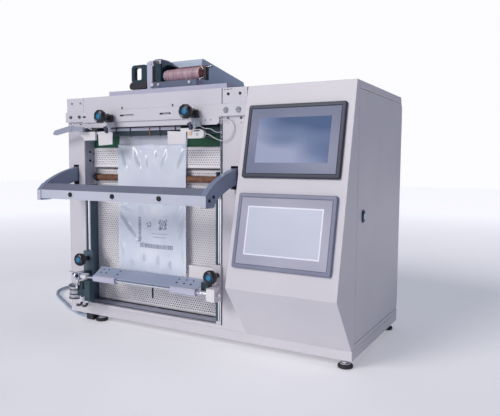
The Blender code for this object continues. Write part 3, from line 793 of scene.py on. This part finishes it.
# The two touch panels, in the console's own frame: X across, Y up the slope, Z out of it.

KNEE_Z = 133
TILT = math.atan2(-span("cabinet_shell")[0].y, CABINET_TOP - KNEE_Z)
CONSOLE = Matrix.Translation((0, 0, CABINET_TOP)) @ Matrix.Rotation(math.pi / 2 - TILT, 4, "X")
PANEL_SIZE = (203.4, 145.9)
# The display's distances from the panel's left and right, and from its lower and upper edges.
GLASS_INSET = (PANEL_SIZE[0] * 0.13, PANEL_SIZE[1] * 0.2, PANEL_SIZE[1] * 0.19)
BORDER = 2.6


def make_panel(name, frame_finish, face_finish, glass, border):
    """A bezel with a stepped rim, a face plate, and the display behind its own glass."""
    low, high = span(f"{name}_panel_bezel")
    centre = CONSOLE.inverted() @ middle(f"{name}_panel_screen")
    x = (low.x, high.x)
    y = (centre.y - PANEL_SIZE[1] / 2, centre.y + PANEL_SIZE[1] / 2)

    def ring(inset, height):
        spans = (x[0] + inset, x[1] - inset), (y[0] + inset, y[1] - inset)
        return [(u, v, height) for u, v in rounded(*spans, max(4 - inset * 0.6, 0.8))]

    solid = Solid(CONSOLE)
    rim = [(0, 0.4), (0, 4.2), (0.5, 5.8), (1.4, 6.7), (2.8, 7), (7.2, 7), (8, 6.3), (8.4, 5.6)]
    solid.use(frame_finish).loft([ring(inset, height) for inset, height in rim])
    solid.use("rubber").loft([ring(0, 0.35), ring(0, 0.5)])
    solid.use(face_finish).loft([ring(8.6, 5.5), ring(8.6, 6.3), ring(9, 6.6)])
    glass_x = (x[0] + GLASS_INSET[0], x[1] - GLASS_INSET[0])
    glass_y = (y[0] + GLASS_INSET[1], y[1] - GLASS_INSET[2])
    if border:
        rim_x = (glass_x[0] - BORDER, glass_x[1] + BORDER)
        rim_y = (glass_y[0] - BORDER, glass_y[1] + BORDER)
        solid.use("screen_border").prism("Z", rounded(rim_x, rim_y, 1), 6.5, 6.72)
    solid.done(f"{name}_panel_case", "machine", "bezel", replaces=(f"{name}_panel_bezel",))
    display = Solid(CONSOLE).use(glass).prism("Z", rounded(glass_x, glass_y, 0.8), 6.5, 6.85)
    display.done(f"{name}_panel_display", "machine", "screen", replaces=(f"{name}_panel_screen",))


make_panel("upper", "slate", "panel_face", "screen_off_painted_reflection", False)
make_panel("lower", "slate_light", "panel_grey", "screen_on", True)


# The jaw's bar and screws, and the screws and bolts of the header and the beam.

JAW_ARMS = ("jaw_arm_left", "jaw_arm_right")
JAW_PIVOT = (54, 68)
JAW_CLOSE = math.radians(18.5)


def swung(y, z):
    """A place given with the jaw closed, as it lies with the jaw open."""
    dy, dz = y - JAW_PIVOT[0], z - JAW_PIVOT[1]
    return (
        JAW_PIVOT[0] + dy * math.cos(JAW_CLOSE) - dz * math.sin(JAW_CLOSE),
        JAW_PIVOT[1] + dy * math.sin(JAW_CLOSE) + dz * math.cos(JAW_CLOSE),
    )


def make_jaw_bar():
    """The bar between the arms, light in front and darker on its slope, with the pad's carrier."""
    left, right = span(JAW_ARMS[0])[1].x + 0.4, span(JAW_ARMS[1])[0].x - 0.4
    solid = Solid().use("jaw_light")
    front_edge = 312
    outline = [(-85.9, 292), (-113.9, 292), (-113.9, front_edge), (-100, 325.9), (-97.2, 325.9)]
    solid.prism("X", outline, left, right)
    solid.use("jaw_slope")
    for face in solid.mesh.faces:
        if face.calc_center_median().z > front_edge + 1:
            face.material_index = solid.finish
    carrier = [swung(-8, 331.4), swung(20.6, 331.4), swung(20.6, 345.6), swung(-8, 345.6)]
    solid.use("jaw_paint").prism("X", carrier, 71.4, 430.6)
    solid.done("jaw_crossbar", "jaw", "jaw_paint", 0.8, replaces=("jaw_bar",))


def make_jaw_screws():
    face = span("jaw_bar")[0].y + 3
    solid = Solid().use("screw_black")
    block = Solid().use("jaw_light")
    for x in (125, 248, 372):
        solid.dome(x, face, 303, 5.3, 2.98)
    for arm, outward in zip(JAW_ARMS, (-1, 1)):
        low, high = span(arm)
        for y, z in ((-103, 302), (-88, 309)):
            solid.side_head(high.x if outward > 0 else low.x, y, z, 3.6, 1.8, outward)
        block.box((low.x + 0.4, high.x - 0.4), (-115.2, -113.6), (289, 311.5))
    solid.done("jaw_screws", "jaw", "black_plastic")
    block.done("jaw_end_blocks", "jaw", "jaw_paint", 0.5)


def make_header_bolts():
    plate = span("header_plate")[0].y + 1.2
    solid = Solid()
    for x, finish in ((18, "steel"), (47, "steel"), (466, "screw_black"), (494, "screw_black")):
        solid.use(finish).dome(x, plate, 517, 3.2, 1.4)
    for x in (16, 45):
        solid.use("screw_black").dome(x, -5.8, 484, 3.7, 3.5)
    for x in (462, 492):
        solid.use("steel").turned("Y", (x, 484), [(6.4, -6), (6.4, -6.8), (6, -7.2)], 28)
        solid.turned("Y", (x, 484), [(5.4, -7), (5.4, -9), (4.9, -9.7), (2.6, -9.7), (2.4, -9.2)], 6)
    for x in (14, 43, 464, 495):
        solid.use("screw_black" if x > 400 else "steel").screw(x, 0, 467.5, 2.5, 1.6)
        solid.use("steel").screw(x, 0, 458, 1.8, 1.2)
    # A thin dark rounded plate paints the shade in the beam's short slot at the left.
    solid.use("screw_black").prism("Y", rounded((56, 66), (481.4, 485.4), 1.9), -5.9, -6.3)
    for x in (176.2, 292.2, 317.8):
        solid.turned("Y", (x, 483), [(1.9, -1), (1.9, -5.9), (1.6, -6.2)], 16)
    for x in (179, 324):
        solid.box((x - 0.6, x + 0.6), (-5.4, -3), (497.8, 503))
    # The seam at the header's right end, and the scribed line over it.
    solid.use("rubber").box((450.1, 451.9), (-3.4, -2.2), (498.5, 529))
    solid.use("screw_black").box((456, 474), (-3.35, -3), (526.1, 526.8))
    for x in (456, 465, 474):
        solid.turned("Y", (x, 526.5), [(0.9, -2.6), (0.9, -3.5)], 10)
    # The beam's slots, with a red mark in the left one.
    solid.use("red_ink").turned("Y", (181, 483), [(1, -1), (1, -6.2)], 10)
    solid.use("jaw_light").box((160, 213), (-2.6, -1.8), (481.6, 484.4))
    solid.use("jaw_paint").box((294, 316), (-2.6, -1.8), (482.2, 483.8))
    solid.done("header_bolts", "machine", "steel")
    lip = Solid()
    lip.use("header_paint").box((56, 450), (-6.4, -2.6), (469.5, 472))
    # The black strip under the lip is painted shadow, for the dark gap above the rollers.
    lip.use("black_plastic").box((57, 449), (-2.2, 0.8), (455.4, 457.2))
    lip.done("beam_lip", "machine", "body_paint", 0.4)


make_jaw_bar()
make_jaw_screws()
make_header_bolts()


# The walls beside the window, with the shade on them painted on as dark teal sheets, and the clips on the
# left one.

def make_inner_walls():
    left = (54.05, 54.8)
    solid = Solid()
    # The dark teal sheets are painted shade on the walls; above the jaw the left wall keeps its own grey.
    solid.use("painted_shade_teal").box(left, (3.4, 43.8), (29, 321))
    solid.box((447.2, 447.95), (3.4, 30.8), (29, 362))
    solid.use("jaw_paint").box(left, (3.4, 30.8), (322, 455))
    solid.use("screw_black")
    for z in (400, 379):
        solid.side_head(left[1], 17, z, 3.2, 2.2)
        solid.side_head(left[1], 27, z - 3, 1.8, 1.4)
    solid.done("inner_walls_painted_shade", "machine", "teal_paint", 0.2)
    trim = Solid()
    for finish, x, y, z in (
        # The teal strip beside the right rail is painted shade, like the walls.
        ("painted_shade_teal", (431.4, 433.8), (4, 40.6), (29, 356)),
        ("chrome", (444.2, 447.1), (0.6, 3.2), (29, 470)),
        ("screw_black", (448.1, 450.6), (-0.8, 0.2), (28, 456)),
        ("jaw_paint", (56, 431), (3.4, 37), (28.3, 29.6)),
        ("slate", (56, 431), (3, 5.4), (29.7, 31)),
    ):
        trim.use(finish).box(x, y, z)
    trim.done("window_trim", "machine", "chrome", 0.3)


make_inner_walls()


# The bag guides on the slotted beam.

BLADE_Y = (-15.6, -13.9)


def guide_clamp(name, blade):
    """A guide's white blade, and behind its knob the clamp's shoe, a clear clip and a fitting."""
    x, z = middle(name).x, middle(name).z
    solid = Solid()
    solid.use("black_plastic").box((x - 10, x + 10), (-16.8, -9.5), (z - 11, z + 6))
    solid.turned("Y", (x, z), [(9, -16.8), (9, -18.6), (7.4, -19.4)], 28)
    solid.use("steel").box((x - 4, x + 4), (-15.5, -11), (z - 30, z - 10))
    solid.use("clear_plastic").box((x - 3, x + 15), (-19.5, -12), (z - 24, z - 12))
    solid.turned("Z", (x + 5, -18), [(3.4, -33), (3.8, -26), (3.8, -14), (3, -12)], 16, z)
    solid.use("fitting")
    solid.turned("Z", (x - 6, -17), [(2.6, -36), (4, -35), (4, -28), (3, -27), (3, -19)], 16, z)
    solid.turned("X", (-17, z - 24), [(2.2, -14), (3.2, -13), (3.2, -6), (2.2, -5)], 16, x)
    solid.use("white_plastic").prism("Y", blade, *BLADE_Y)
    return solid


def make_left_guide():
    solid = guide_clamp("left_guide_knob", [(114, 442.5), (159, 445), (158.6, 416.5), (116, 414.2)])
    box_face = [(64.4, 446.8), (109, 446.8), (109, 426.4), (72, 426.4), (72, 432), (64.4, 436)]
    solid.prism("Y", box_face, -19.8, -13.8)
    solid.box((108, 152), (-13.8, -12.2), (441, 447))
    solid.use("black_plastic").prism("Z", rounded((69, 87), (-21.9, -15.9), 2.8), 446.6, 447.4)
    solid.turned("X", (-16.5, 451), [(1.6, 96), (2.6, 98), (2.6, 112), (1.6, 114)], 14)
    hose = smooth([(98, -17, 451), (88, -18, 455), (80, -19, 463), (78, -18.4, 470)], 5)
    solid.use("clear_tube").tube(hose, 1.4, 10)
    solid.done(
        "left_bag_guide_assembly", "left_guide", "white_plastic", 0.35, replaces=("left_bag_guide",)
    )


def make_right_guide():
    blade = [(318.6, 443.6), (368, 441.4), (367.4, 415.6), (319.6, 414.4)]
    solid = guide_clamp("right_guide_knob", blade)
    solid.box((352, 388), (-13.8, -12.2), (441, 449))
    # The bracket on the right has a round lower corner and two small holes, drawn as black discs of painted
    # shade.
    bracket = [(399, 472), (399, 455)] + arc((438, 464), 9, -90, 0, 6) + [(447, 472)]
    solid.use("header_paint").prism("Y", bracket, -9.2, -6.6)
    solid.use("screw_black")
    for x in (413, 427):
        solid.turned("Y", (x, 465), [(1.5, -9), (1.5, -9.4)], 12)
    solid.use("clear_plastic").box((393, 404), (-18, -12), (451, 461))
    for finish, radius, route in (
        ("clear_tube", 1.05, (
            (411, -9, 437), (424, -10, 434), (438, -9, 426), (455, -5, 421), (470, -4, 426),
            (479, -3.6, 440), (479, -3.6, 455), (471, -3.8, 464), (458, -5, 466), (447, -9, 464),
        )),
        ("clear_tube", 0.9, (
            (405, -16, 452), (416, -14, 447), (428, -12, 446), (441, -9, 439), (452, -5, 440),
        )),
        ("black_plastic", 1.4, ((411, -7, 431), (426, -7, 430), (440, -6, 428))),
    ):
        solid.use(finish).tube(smooth(route, 5), radius, 10)
    solid.done(
        "right_bag_guide_assembly", "right_guide", "white_plastic", 0.35, replaces=("right_bag_guide",)
    )


def make_sensor():
    """The bag sensor: a case with a round end, an orange lamp, an adjuster and a marking."""
    low, high = span("bag_sensor")
    solid = Solid()
    face = [(low.x, low.z), (high.x - 9, low.z)]
    face += arc((high.x - 9, (low.z + high.z) / 2), 9.3, -90, 90, 8) + [(low.x, high.z)]
    solid.use("white_plastic").prism("Y", face, low.y + 1.5, high.y)
    for finish, place, profile, sides in (
        ("orange", (378, 437.5), [(4.2, 1.6), (4.2, 0.8), (3.4, 0.3)], 24),
        ("white_plastic", (378, 437.5), [(1.6, 1), (1.6, 0.1)], 16),
        ("lavender", (395, 435.5), [(3.2, 1.6), (3.2, 0.6), (2.4, 0.3)], 20),
    ):
        solid.use(finish).turned("Y", place, profile, sides, low.y)
    solid.use("fitting").box((388, 401), (low.y + 0.9, low.y + 1.7), (441.5, 444))
    solid.done("bag_sensor_case", "right_guide", "white_plastic", 0.4, replaces=("bag_sensor",))


make_left_guide()
make_right_guide()
make_sensor()


# The film guide: thin hooks on a bar, with one copper spring among them.

def make_fingers():
    solid = Solid()
    solid.use("black_plastic").box((120, 340), (4.2, 6.8), (460.5, 467.5))
    for x in (152, 195, 252, 281, 324):
        solid.use("copper" if x == 252 else "black_plastic")
        path = [(x, 5.5, 464), (x, 5.2, 452), (x, 5.6, 444), (x, 7.4, 438), (x, 9.8, 434.5)]
        solid.tube(smooth(path, 5), 1.1, 10)
    solid.use("lavender").box((122, 338), (6.3, 7.3), (448, 454.5))
    solid.use("steel").turned("X", (5.5, 464), [(1.2, 118), (1.2, 342)], 12)
    solid.done("film_guide_wires", "machine", "black_plastic", replaces=("film_guide_fingers",))


make_fingers()


# The bag shelf, its slides and its actuator.

SHELF_X = (span("bag_shelf")[0].x, span("bag_shelf")[1].x)
SHELF_EDGE = (-7.6, 121.4)
ROD_Y, ROD_Z = middle("shelf_rod").yz


def make_shelf():
    y, z = ROD_Y, ROD_Z
    solid = Solid().use("shelf_paint")
    ledge = [(y - 0.4, z + 4.6), (y + 0.8, z + 3.6), SHELF_EDGE, (-7.6, 124.4), (-9.4, 124.4), (-9.4, 122.2)]
    solid.prism("X", ledge, *SHELF_X)
    solid.box(SHELF_X, (y - 1.6, y + 0.4), (z + 1.5, z + 5))
    solid.use("screw_black")
    solid.turned("Z", (292, y - 1), [(1.6, -27), (1.9, -25), (1.9, 1), (1.2, 2)], 14, z)
    hub = [
        (y - 7.6, z - 5), (y - 5, z - 7.8), (y + 5, z - 7.8), (y + 7.6, z - 5), (y + 7.6, z + 5),
        (y + 5.4, z + 6.8), (y - 5.4, z + 6.8), (y - 7.6, z + 4),
    ]
    for hub_x in ((117, 184), (344, 409)):
        solid.use("lavender").prism("X", hub, *hub_x)
        for x in hub_x:
            solid.use("steel").turned("X", (y, z), [(5.6, -1.2), (5.6, 1.2)], 24, x)
    # Square holes through the shelf, as dark insets on its slope: painted shade for the dark seen through
    # them.
    solid.use("screw_black")
    rise = Vector((0, SHELF_EDGE[0] - y, SHELF_EDGE[1] - z - 4.6)).normalized()
    out = Vector((0, -rise.z, rise.y)) * 0.5
    side = Vector((4, 0, 0))
    for x in (124, 140, 176, 346, 366, 384):
        for step in (12, 24):
            base = Vector((x, y - 0.5, z + 5.45)) + rise * step
            corners = [base, base + side, base + side + rise * 4, base + rise * 4]
            solid.loft([corners, [corner + out for corner in corners]])
    solid.done("bag_shelf_assembly", "shelf", "jaw_paint", 0.35, replaces=("bag_shelf",))


def make_shelf_slides():
    y, z = ROD_Y, ROD_Z
    slide = Solid()
    # The slide's upright plates take the teal of the walls' painted shade.
    slide.use("painted_shade_teal").box((50.2, 81.8), (-5.9, -1.1), (80, 157.8))
    slide.box((54.8, 61), (-2, 4.1), (80, 139.8))
    slide.use("dark_teal").box((59, 74.6), (-30, -4.4), (94, 110))
    slide.use("jaw_paint").box((60, 74), (-44, -28), (z - 9, z + 9))
    slide.use("screw_black")
    slide.turned("Y", (67, z + 1), [(4.6, -43.8), (4.6, -46), (3.6, -47.2), (2, -47.2), (2, -46)], 24)
    slide.use("chrome").turned("X", (y, z), [(6.2, 48), (6.8, 49), (6.8, 58), (6.2, 59)], 24)
    slide.turned("Z", (64, -40), [(2.2, -18), (2.8, -17), (2.8, -9)], 16, z)
    slide.use("white_plastic").turned("X", (y, z), [(6.4, 76), (7.2, 77), (7.2, 92), (6.4, 93)], 28)
    slide.done(
        "left_shelf_slide_assembly", "shelf_carriage", "steel", 0.5, replaces=("left_shelf_slide",)
    )
    fixed = Solid()
    fixed.use("dark_teal").box((412, 429.6), (-24, -7), (104, 122))
    fixed.use("white_plastic").box((368, 434), (-5.6, -4.1), (124, 151))
    fixed.box((441.5, 461.5), (-48.8, -47.8), (89, 115))
    fixed.use("ribbon_dark").side_head(462, y, z, 4, 2)
    fixed.use("jaw_paint").box((46, 111), (-48.6, -47.2), (111, 113.4))
    fixed.done("shelf_slide_fittings", "shelf_carriage", "steel", 0.35)


def make_actuator():
    solid = Solid()
    solid.use("teal_paint").box((88.2, 104.8), (-41.8, -26.2), (44, 93))
    solid.use("dark_teal").box((60, 88.6), (-35, -21), (52, 70))
    solid.box((65.4, 75.6), (-35.6, -20.4), (69, 87.8))
    for z in (50, 86):
        solid.use("screw_black").screw(96.5, -41.8, z, 2.2, 0.2)
    cylinder = (44, -26)
    solid.use("steel").turned("Z", cylinder, [
        (13, 41), (16.8, 42.6), (16.8, 47), (15.4, 47.8), (15.4, 71.6), (16.8, 72.4), (16.8, 76.4), (13, 78),
    ], 44)
    solid.use("black_plastic")
    for z in (44, 74):
        solid.turned("Z", cylinder, [(16.9, -1), (17, -0.6), (17, 1.6), (16.9, 2)], 44, z)
    for z in (53, 64):
        solid.turned("Z", cylinder, [(15.4, 0), (15.9, 0.4), (15.9, 2.4), (15.4, 2.8)], 44, z)
    for x in (66, 84):
        solid.use("chrome").turned("Z", (x, -30), [(3.2, 52.5), (4.2, 51.8), (4.2, 37), (3.2, 36.4)], 6)
        elbow = smooth([(x, -30, 38), (x, -30, 33), (x - 2, -31, 29), (x - 7, -33, 27.5)], 4)
        solid.use("black_plastic").tube(elbow, 3.1, 14)
        solid.use("steel").turned("X", (-33, 27.4), [(3.6, -13), (3.6, -9)], 18, x)
    solid.use("chrome")
    solid.turned("Z", (60, -38), [(2.4, 70), (3.4, 71), (3.4, 78), (2.2, 79), (2.2, 87)], 16)
    solid.done(
        "shelf_actuator_assembly", "shelf_carriage", "teal_paint", 0.5, replaces=("shelf_actuator",)
    )


make_shelf()
make_shelf_slides()
make_actuator()


# The ribbon printer on top.

def make_printer():
    low, high = span("printer_housing")
    mid_x = (low.x + high.x) / 2
    solid = Solid()
    # The housing is a frame round a see-through window, over a wider flange.
    outer = rounded((low.x + 4, high.x - 0.5), (low.z + 14, high.z - 0.5), 9, 6)
    inner = rounded((mid_x - 13, mid_x + 9), (low.z + 22, high.z - 7), 4, 6)
    front, back = low.y + 4, low.y + 16
    solid.use("dark_teal").loft([[(u, y, v) for u, v in outline] for y, outline in (
        (front, inner), (front, outer), (back, outer), (back, inner), (front, inner),
    )], closed=False)
    flange = rounded((low.x, high.x), (low.z + 0.2, low.z + 15), 6, 6)
    solid.use("black_plastic").prism("Y", flange, low.y + 1, high.y - 1)
    solid.box((low.x + 2, high.x - 1), (low.y + 3, high.y - 3), (low.z + 14, low.z + 17))
    solid.done("printer_housing_frame", "machine", "black_plastic", 0.8, replaces=("printer_housing",))

    parts = Solid()
    parts.use("lavender").box((211, 228.5), (53.6, 56.2), (545, 613.5))
    parts.use("steel")
    for z in (552, 606):
        parts.turned("Y", (220, z), [(2.6, 53.8), (2.6, 52.4), (1.8, 51.8)], 18)
    parts.use("dark_teal").box((229.6, 250.4), (49, 95), (554.5, 604))
    parts.prism("Y", [(249, 612), (249, 592), (262, 598), (268, 600.5), (256, 607)], 52, 94)
    cap = rounded((-14, 13), (-23, 24), 8)
    parts.use("black_plastic").loft([
        [(237 + u * share, 72 + v * share, z) for u, v in cap]
        for share, z in ((1, 604), (1, 610), (0.9, 614), (0.72, 616))
    ])
    parts.use("screw_black").box((226, 234), (48.4, 49.2), (560, 600))
    parts.use("slate_mid").box((224, 352), (47.4, 50.2), (545.4, 562))
    parts.use("white_plastic")
    for x, r in ((228, 4), (246, 3), (333, 3.4)):
        parts.turned("Y", (x, 556), [(r, 47.6), (r, 45.2), (r * 0.7, 44)], 18)
    parts.use("steel")
    parts.tube([
        (356, 66, 563), (362, 63, 566), (367, 63, 571), (362, 64, 583), (352, 65, 592.5), (347, 66, 596),
    ], 1, 8)
    parts.tube([(366, 63, 570), (352, 58, 562)], 1, 8)
    parts.use("black_plastic").box((362, 368.5), (60, 72), (561, 590))
    parts.done("printer_drive_block", "machine", "blue_grey_plastic", 0.5)


def make_supply_roll():
    low, high = span("ribbon_supply_roll")
    place = middle("ribbon_supply_roll").yz
    r = (high.z - low.z) / 2
    long = high.x - low.x
    ribbon = [(5, 8)]
    for i in range(24):
        x = 8 + i * 3.9
        ribbon += [(r - 0.5 - 0.35 * (i % 2), x), (r - 0.15 - 0.35 * ((i * 7) % 3) / 2, x + 1.9)]
    ribbon += [(r - 0.8, 102.6), (5, 102.6)]
    solid = Solid()
    for finish, profile, sides in (
        ("lavender", [(3, 0), (9.5, 0.5), (9.5, 3), (7, 3.6), (7, 6)], 28),
        ("lavender", [(11.6, 4), (12.4, 4.6), (12.4, 6.6), (11.6, 7.2)], 28),
        ("ribbon", ribbon, 40),
        ("ribbon_dark", [(r - 1, 102.7), (r - 4, 106), (5, long - 8), (3, long - 7)], 32),
        ("ribbon_dark", [(3, long - 8), (3, long)], 16),
    ):
        solid.use(finish).turned("X", place, profile, sides, low.x)
    solid.done("ribbon_supply_reel", "ribbon_supply", "ribbon", replaces=("ribbon_supply_roll",))


def make_takeup_roll():
    low, high = span("ribbon_takeup_roll")
    place = middle("ribbon_takeup_roll").yz
    solid = Solid()
    wound = [(2.6, 256), (3.9, 256.4), (3.7, 280), (3.95, 310), (3.7, 355.6), (2.6, 356)]
    solid.use("ribbon_dark").turned("X", place, wound, 28)
    solid.use("steel").turned("X", place, [(2.4, low.x), (2.4, high.x)], 18)
    solid.done("ribbon_takeup_reel", "ribbon_takeup", "ribbon", replaces=("ribbon_takeup_roll",))


make_printer()
make_supply_roll()
make_takeup_roll()


# The door's latch and hinges, the feet, and the rear.

def make_latch():
    y, z = 49, 274
    solid = Solid()
    plate = rounded((y - 8, y + 8), (z - 13, z + 13), 7.5, 8)
    solid.use("screw_black").prism("X", plate, 740.1, 740.9)
    cap = rounded((-6.8, 6.8), (-11, 11), 6.6, 8)
    solid.use("latch_blue").loft([
        [(x, y + u * share, z + v * share) for u, v in cap]
        for x, share in ((740.9, 1), (742.6, 1), (743.6, 0.86), (743.9, 0.6))
    ])
    slot = rounded((y - 1.4, y + 1.4), (z - 6, z + 6), 1.3, 4)
    solid.use("chrome").prism("X", slot, 743.8, 743.98)
    solid.use("steel").turned("X", (y, z), [(4.8, 733), (4.8, 740.2)], 24)
    solid.box((733.2, 735.6), (y - 6, y + 6), (z - 8, z + 38))
    solid.done("door_latch_handle", "latch", "blue_grey_plastic", 0.2, replaces=("door_latch",))


def make_foot(name):
    """A ribbed rubber pad, a metal hub, a nut and a threaded stem."""
    low, high = span(name)
    place = middle(name).xy
    solid = Solid()
    thread = [(4.2, 12)]
    for i in range(5):
        thread += [(4, 12.4 + i * 1.1), (4.7, 12.95 + i * 1.1)]
    thread.append((4, high.z - low.z))
    pad = [(14, 0), (14.9, 0.9), (14.9, 4.8), (14, 6), (11.6, 7.4), (8, 8)]
    solid.use("rubber").turned("Z", place, pad, 48, low.z, lobes=24, depth=0.008)
    solid.use("steel").turned("Z", place, [(10.6, 7.2), (10.6, 9.4), (8.4, 10.2)], 32, low.z)
    solid.turned("Z", place, [(7.4, 10), (7.4, 12.6)], 6, low.z)
    solid.turned("Z", place, thread, 20, low.z)
    solid.done(f"{name}_assembly", "machine", "rubber", replaces=(name,))


def make_rear():
    """Pressed louvres over dark strips of painted shade in their gaps, and the panel's screws."""
    back = span("rear_panel")[1].y
    solid = Solid()
    for middle_x in (90, 250, 410):
        for row in range(7):
            z = 330 + row * 18
            hood = [(back - 0.6, z), (back + 3.4, z), (back + 3.4, z + 1.2), (back - 0.6, z + 8.5)]
            solid.use("body_paint").prism("X", hood, middle_x - 45, middle_x + 45)
            # Behind each louvre a black box paints the shade in its gap.
            gap_painted_shade = (middle_x - 44, middle_x + 44), (back - 0.4, back + 3), (z - 0.3, z + 0.1)
            solid.use("screw_black").box(*gap_painted_shade)
    solid.use("steel")
    for x in (12, 256, 500):
        for z in (34, 270, 506):
            solid.turned("Y", (x, z), [(3.4, -0.2), (3.4, 1), (2.4, 1.8), (1, 1.8)], 20, back)
    solid.done("rear_louvres", "machine", "body_paint", 0.3)


def make_inlet():
    """The power inlet's three pins, two screws and its fuse drawer."""
    low, high = span("power_inlet")
    solid = Solid().use("steel")
    for x, z in ((614, 74), (620, 79), (626, 74)):
        solid.box((x - 1, x + 1), (low.y + 0.6, high.y - 1), (z - 2.5, z + 2.5))
    solid.use("screw_black")
    for x in (low.x + 4, high.x - 4):
        solid.turned("Y", (x, 76), [(2.4, -0.4), (1.6, -0.05)], 16, high.y)
    solid.use("knob_ring").box((636, 642), (low.y + 2, high.y - 0.1), (68, 84))
    solid.done("power_inlet_pins", "machine", "black_plastic")


def make_hinges():
    """Barrels of three knuckles, with grooves between them."""
    barrel = [
        (1.6, -24), (2, -23), (2, -8), (1.6, -7.6), (1.6, -7), (2, -6.6), (2, 7), (1.6, 7.4),
        (1.6, 8), (2, 8.4), (2, 23), (1.6, 24),
    ]
    solid = Solid().use("steel")
    for z in (80, 270, 460):
        solid.turned("Z", (737.6, 331.6), barrel, 20, z)
    solid.done("door_hinges", "machine", "steel")


make_latch()
for foot in ("foot_front_left", "foot_front_right", "foot_rear_left", "foot_rear_right"):
    make_foot(foot)
make_rear()
make_inlet()
make_hinges()


# The floor and the lights.

FLOOR_Z = -18.4
FLOOR_STEPS = range(-9000, 9001, 1500)


def make_floor():
    solid = Solid().use("floor")
    solid.sheet([[solid.mesh.verts.new((x, y, FLOOR_Z)) for x in FLOOR_STEPS] for y in FLOOR_STEPS])
    floor = solid.build("floor")


def make_lamp(name, kind, energy, colour):
    data = bpy.data.lights.new(name, kind)
    data.energy = energy
    data.color = colour
    return add(name, data)


def make_light(name, place, aim, size, energy, colour):
    """A soft box that looks from its place at a point."""
    light = make_lamp(name, "AREA", energy, colour)
    light.data.shape = "RECTANGLE"
    light.data.size, light.data.size_y = size
    light.location = place
    light.rotation_euler = (Vector(aim) - Vector(place)).to_track_quat("-Z", "Y").to_euler()


def make_sun(name, toward, softness, energy, colour):
    """An even, soft key light. toward is the direction that it comes from."""
    light = make_lamp(name, "SUN", energy, colour)
    light.data.angle = math.radians(softness)
    light.rotation_euler = Vector(toward).to_track_quat("Z", "Y").to_euler()


def make_world():
    """A pale blue sky for the light, and a white backdrop where the camera looks at it."""
    world = bpy.data.worlds.new("world")
    bpy.context.scene.world = world
    world.use_nodes = True
    tree = world.node_tree
    sky = tree.nodes["Background"]
    wire(tree, sky, {"Color": (0.62, 0.69, 1, 1), "Strength": 0.235})
    seen = node(tree, "Background", {"Color": (0.98, 0.98, 1, 1), "Strength": 1})
    by_camera = node(tree, "LightPath", {}).outputs["Is Camera Ray"]
    mix = node(tree, "MixShader", {0: by_camera, 1: sky.outputs[0], 2: seen.outputs[0]})
    wire(tree, tree.nodes["World Output"], {"Surface": mix.outputs[0]})


make_floor()
make_world()
make_sun("key", (-1.1, -2.4, 1.6), 24, 1.55, (1, 0.962, 0.935))
make_sun("front", (-0.16, -0.97, 0.12), 11, 0.36, (1, 0.99, 0.97))
make_light("top", (0.2, 0.3, 2.6), (0, 0, 0.3), (1.8, 1.8), 10, (0.97, 0.98, 1))
bpy.context.scene.view_settings.view_transform = "Standard"
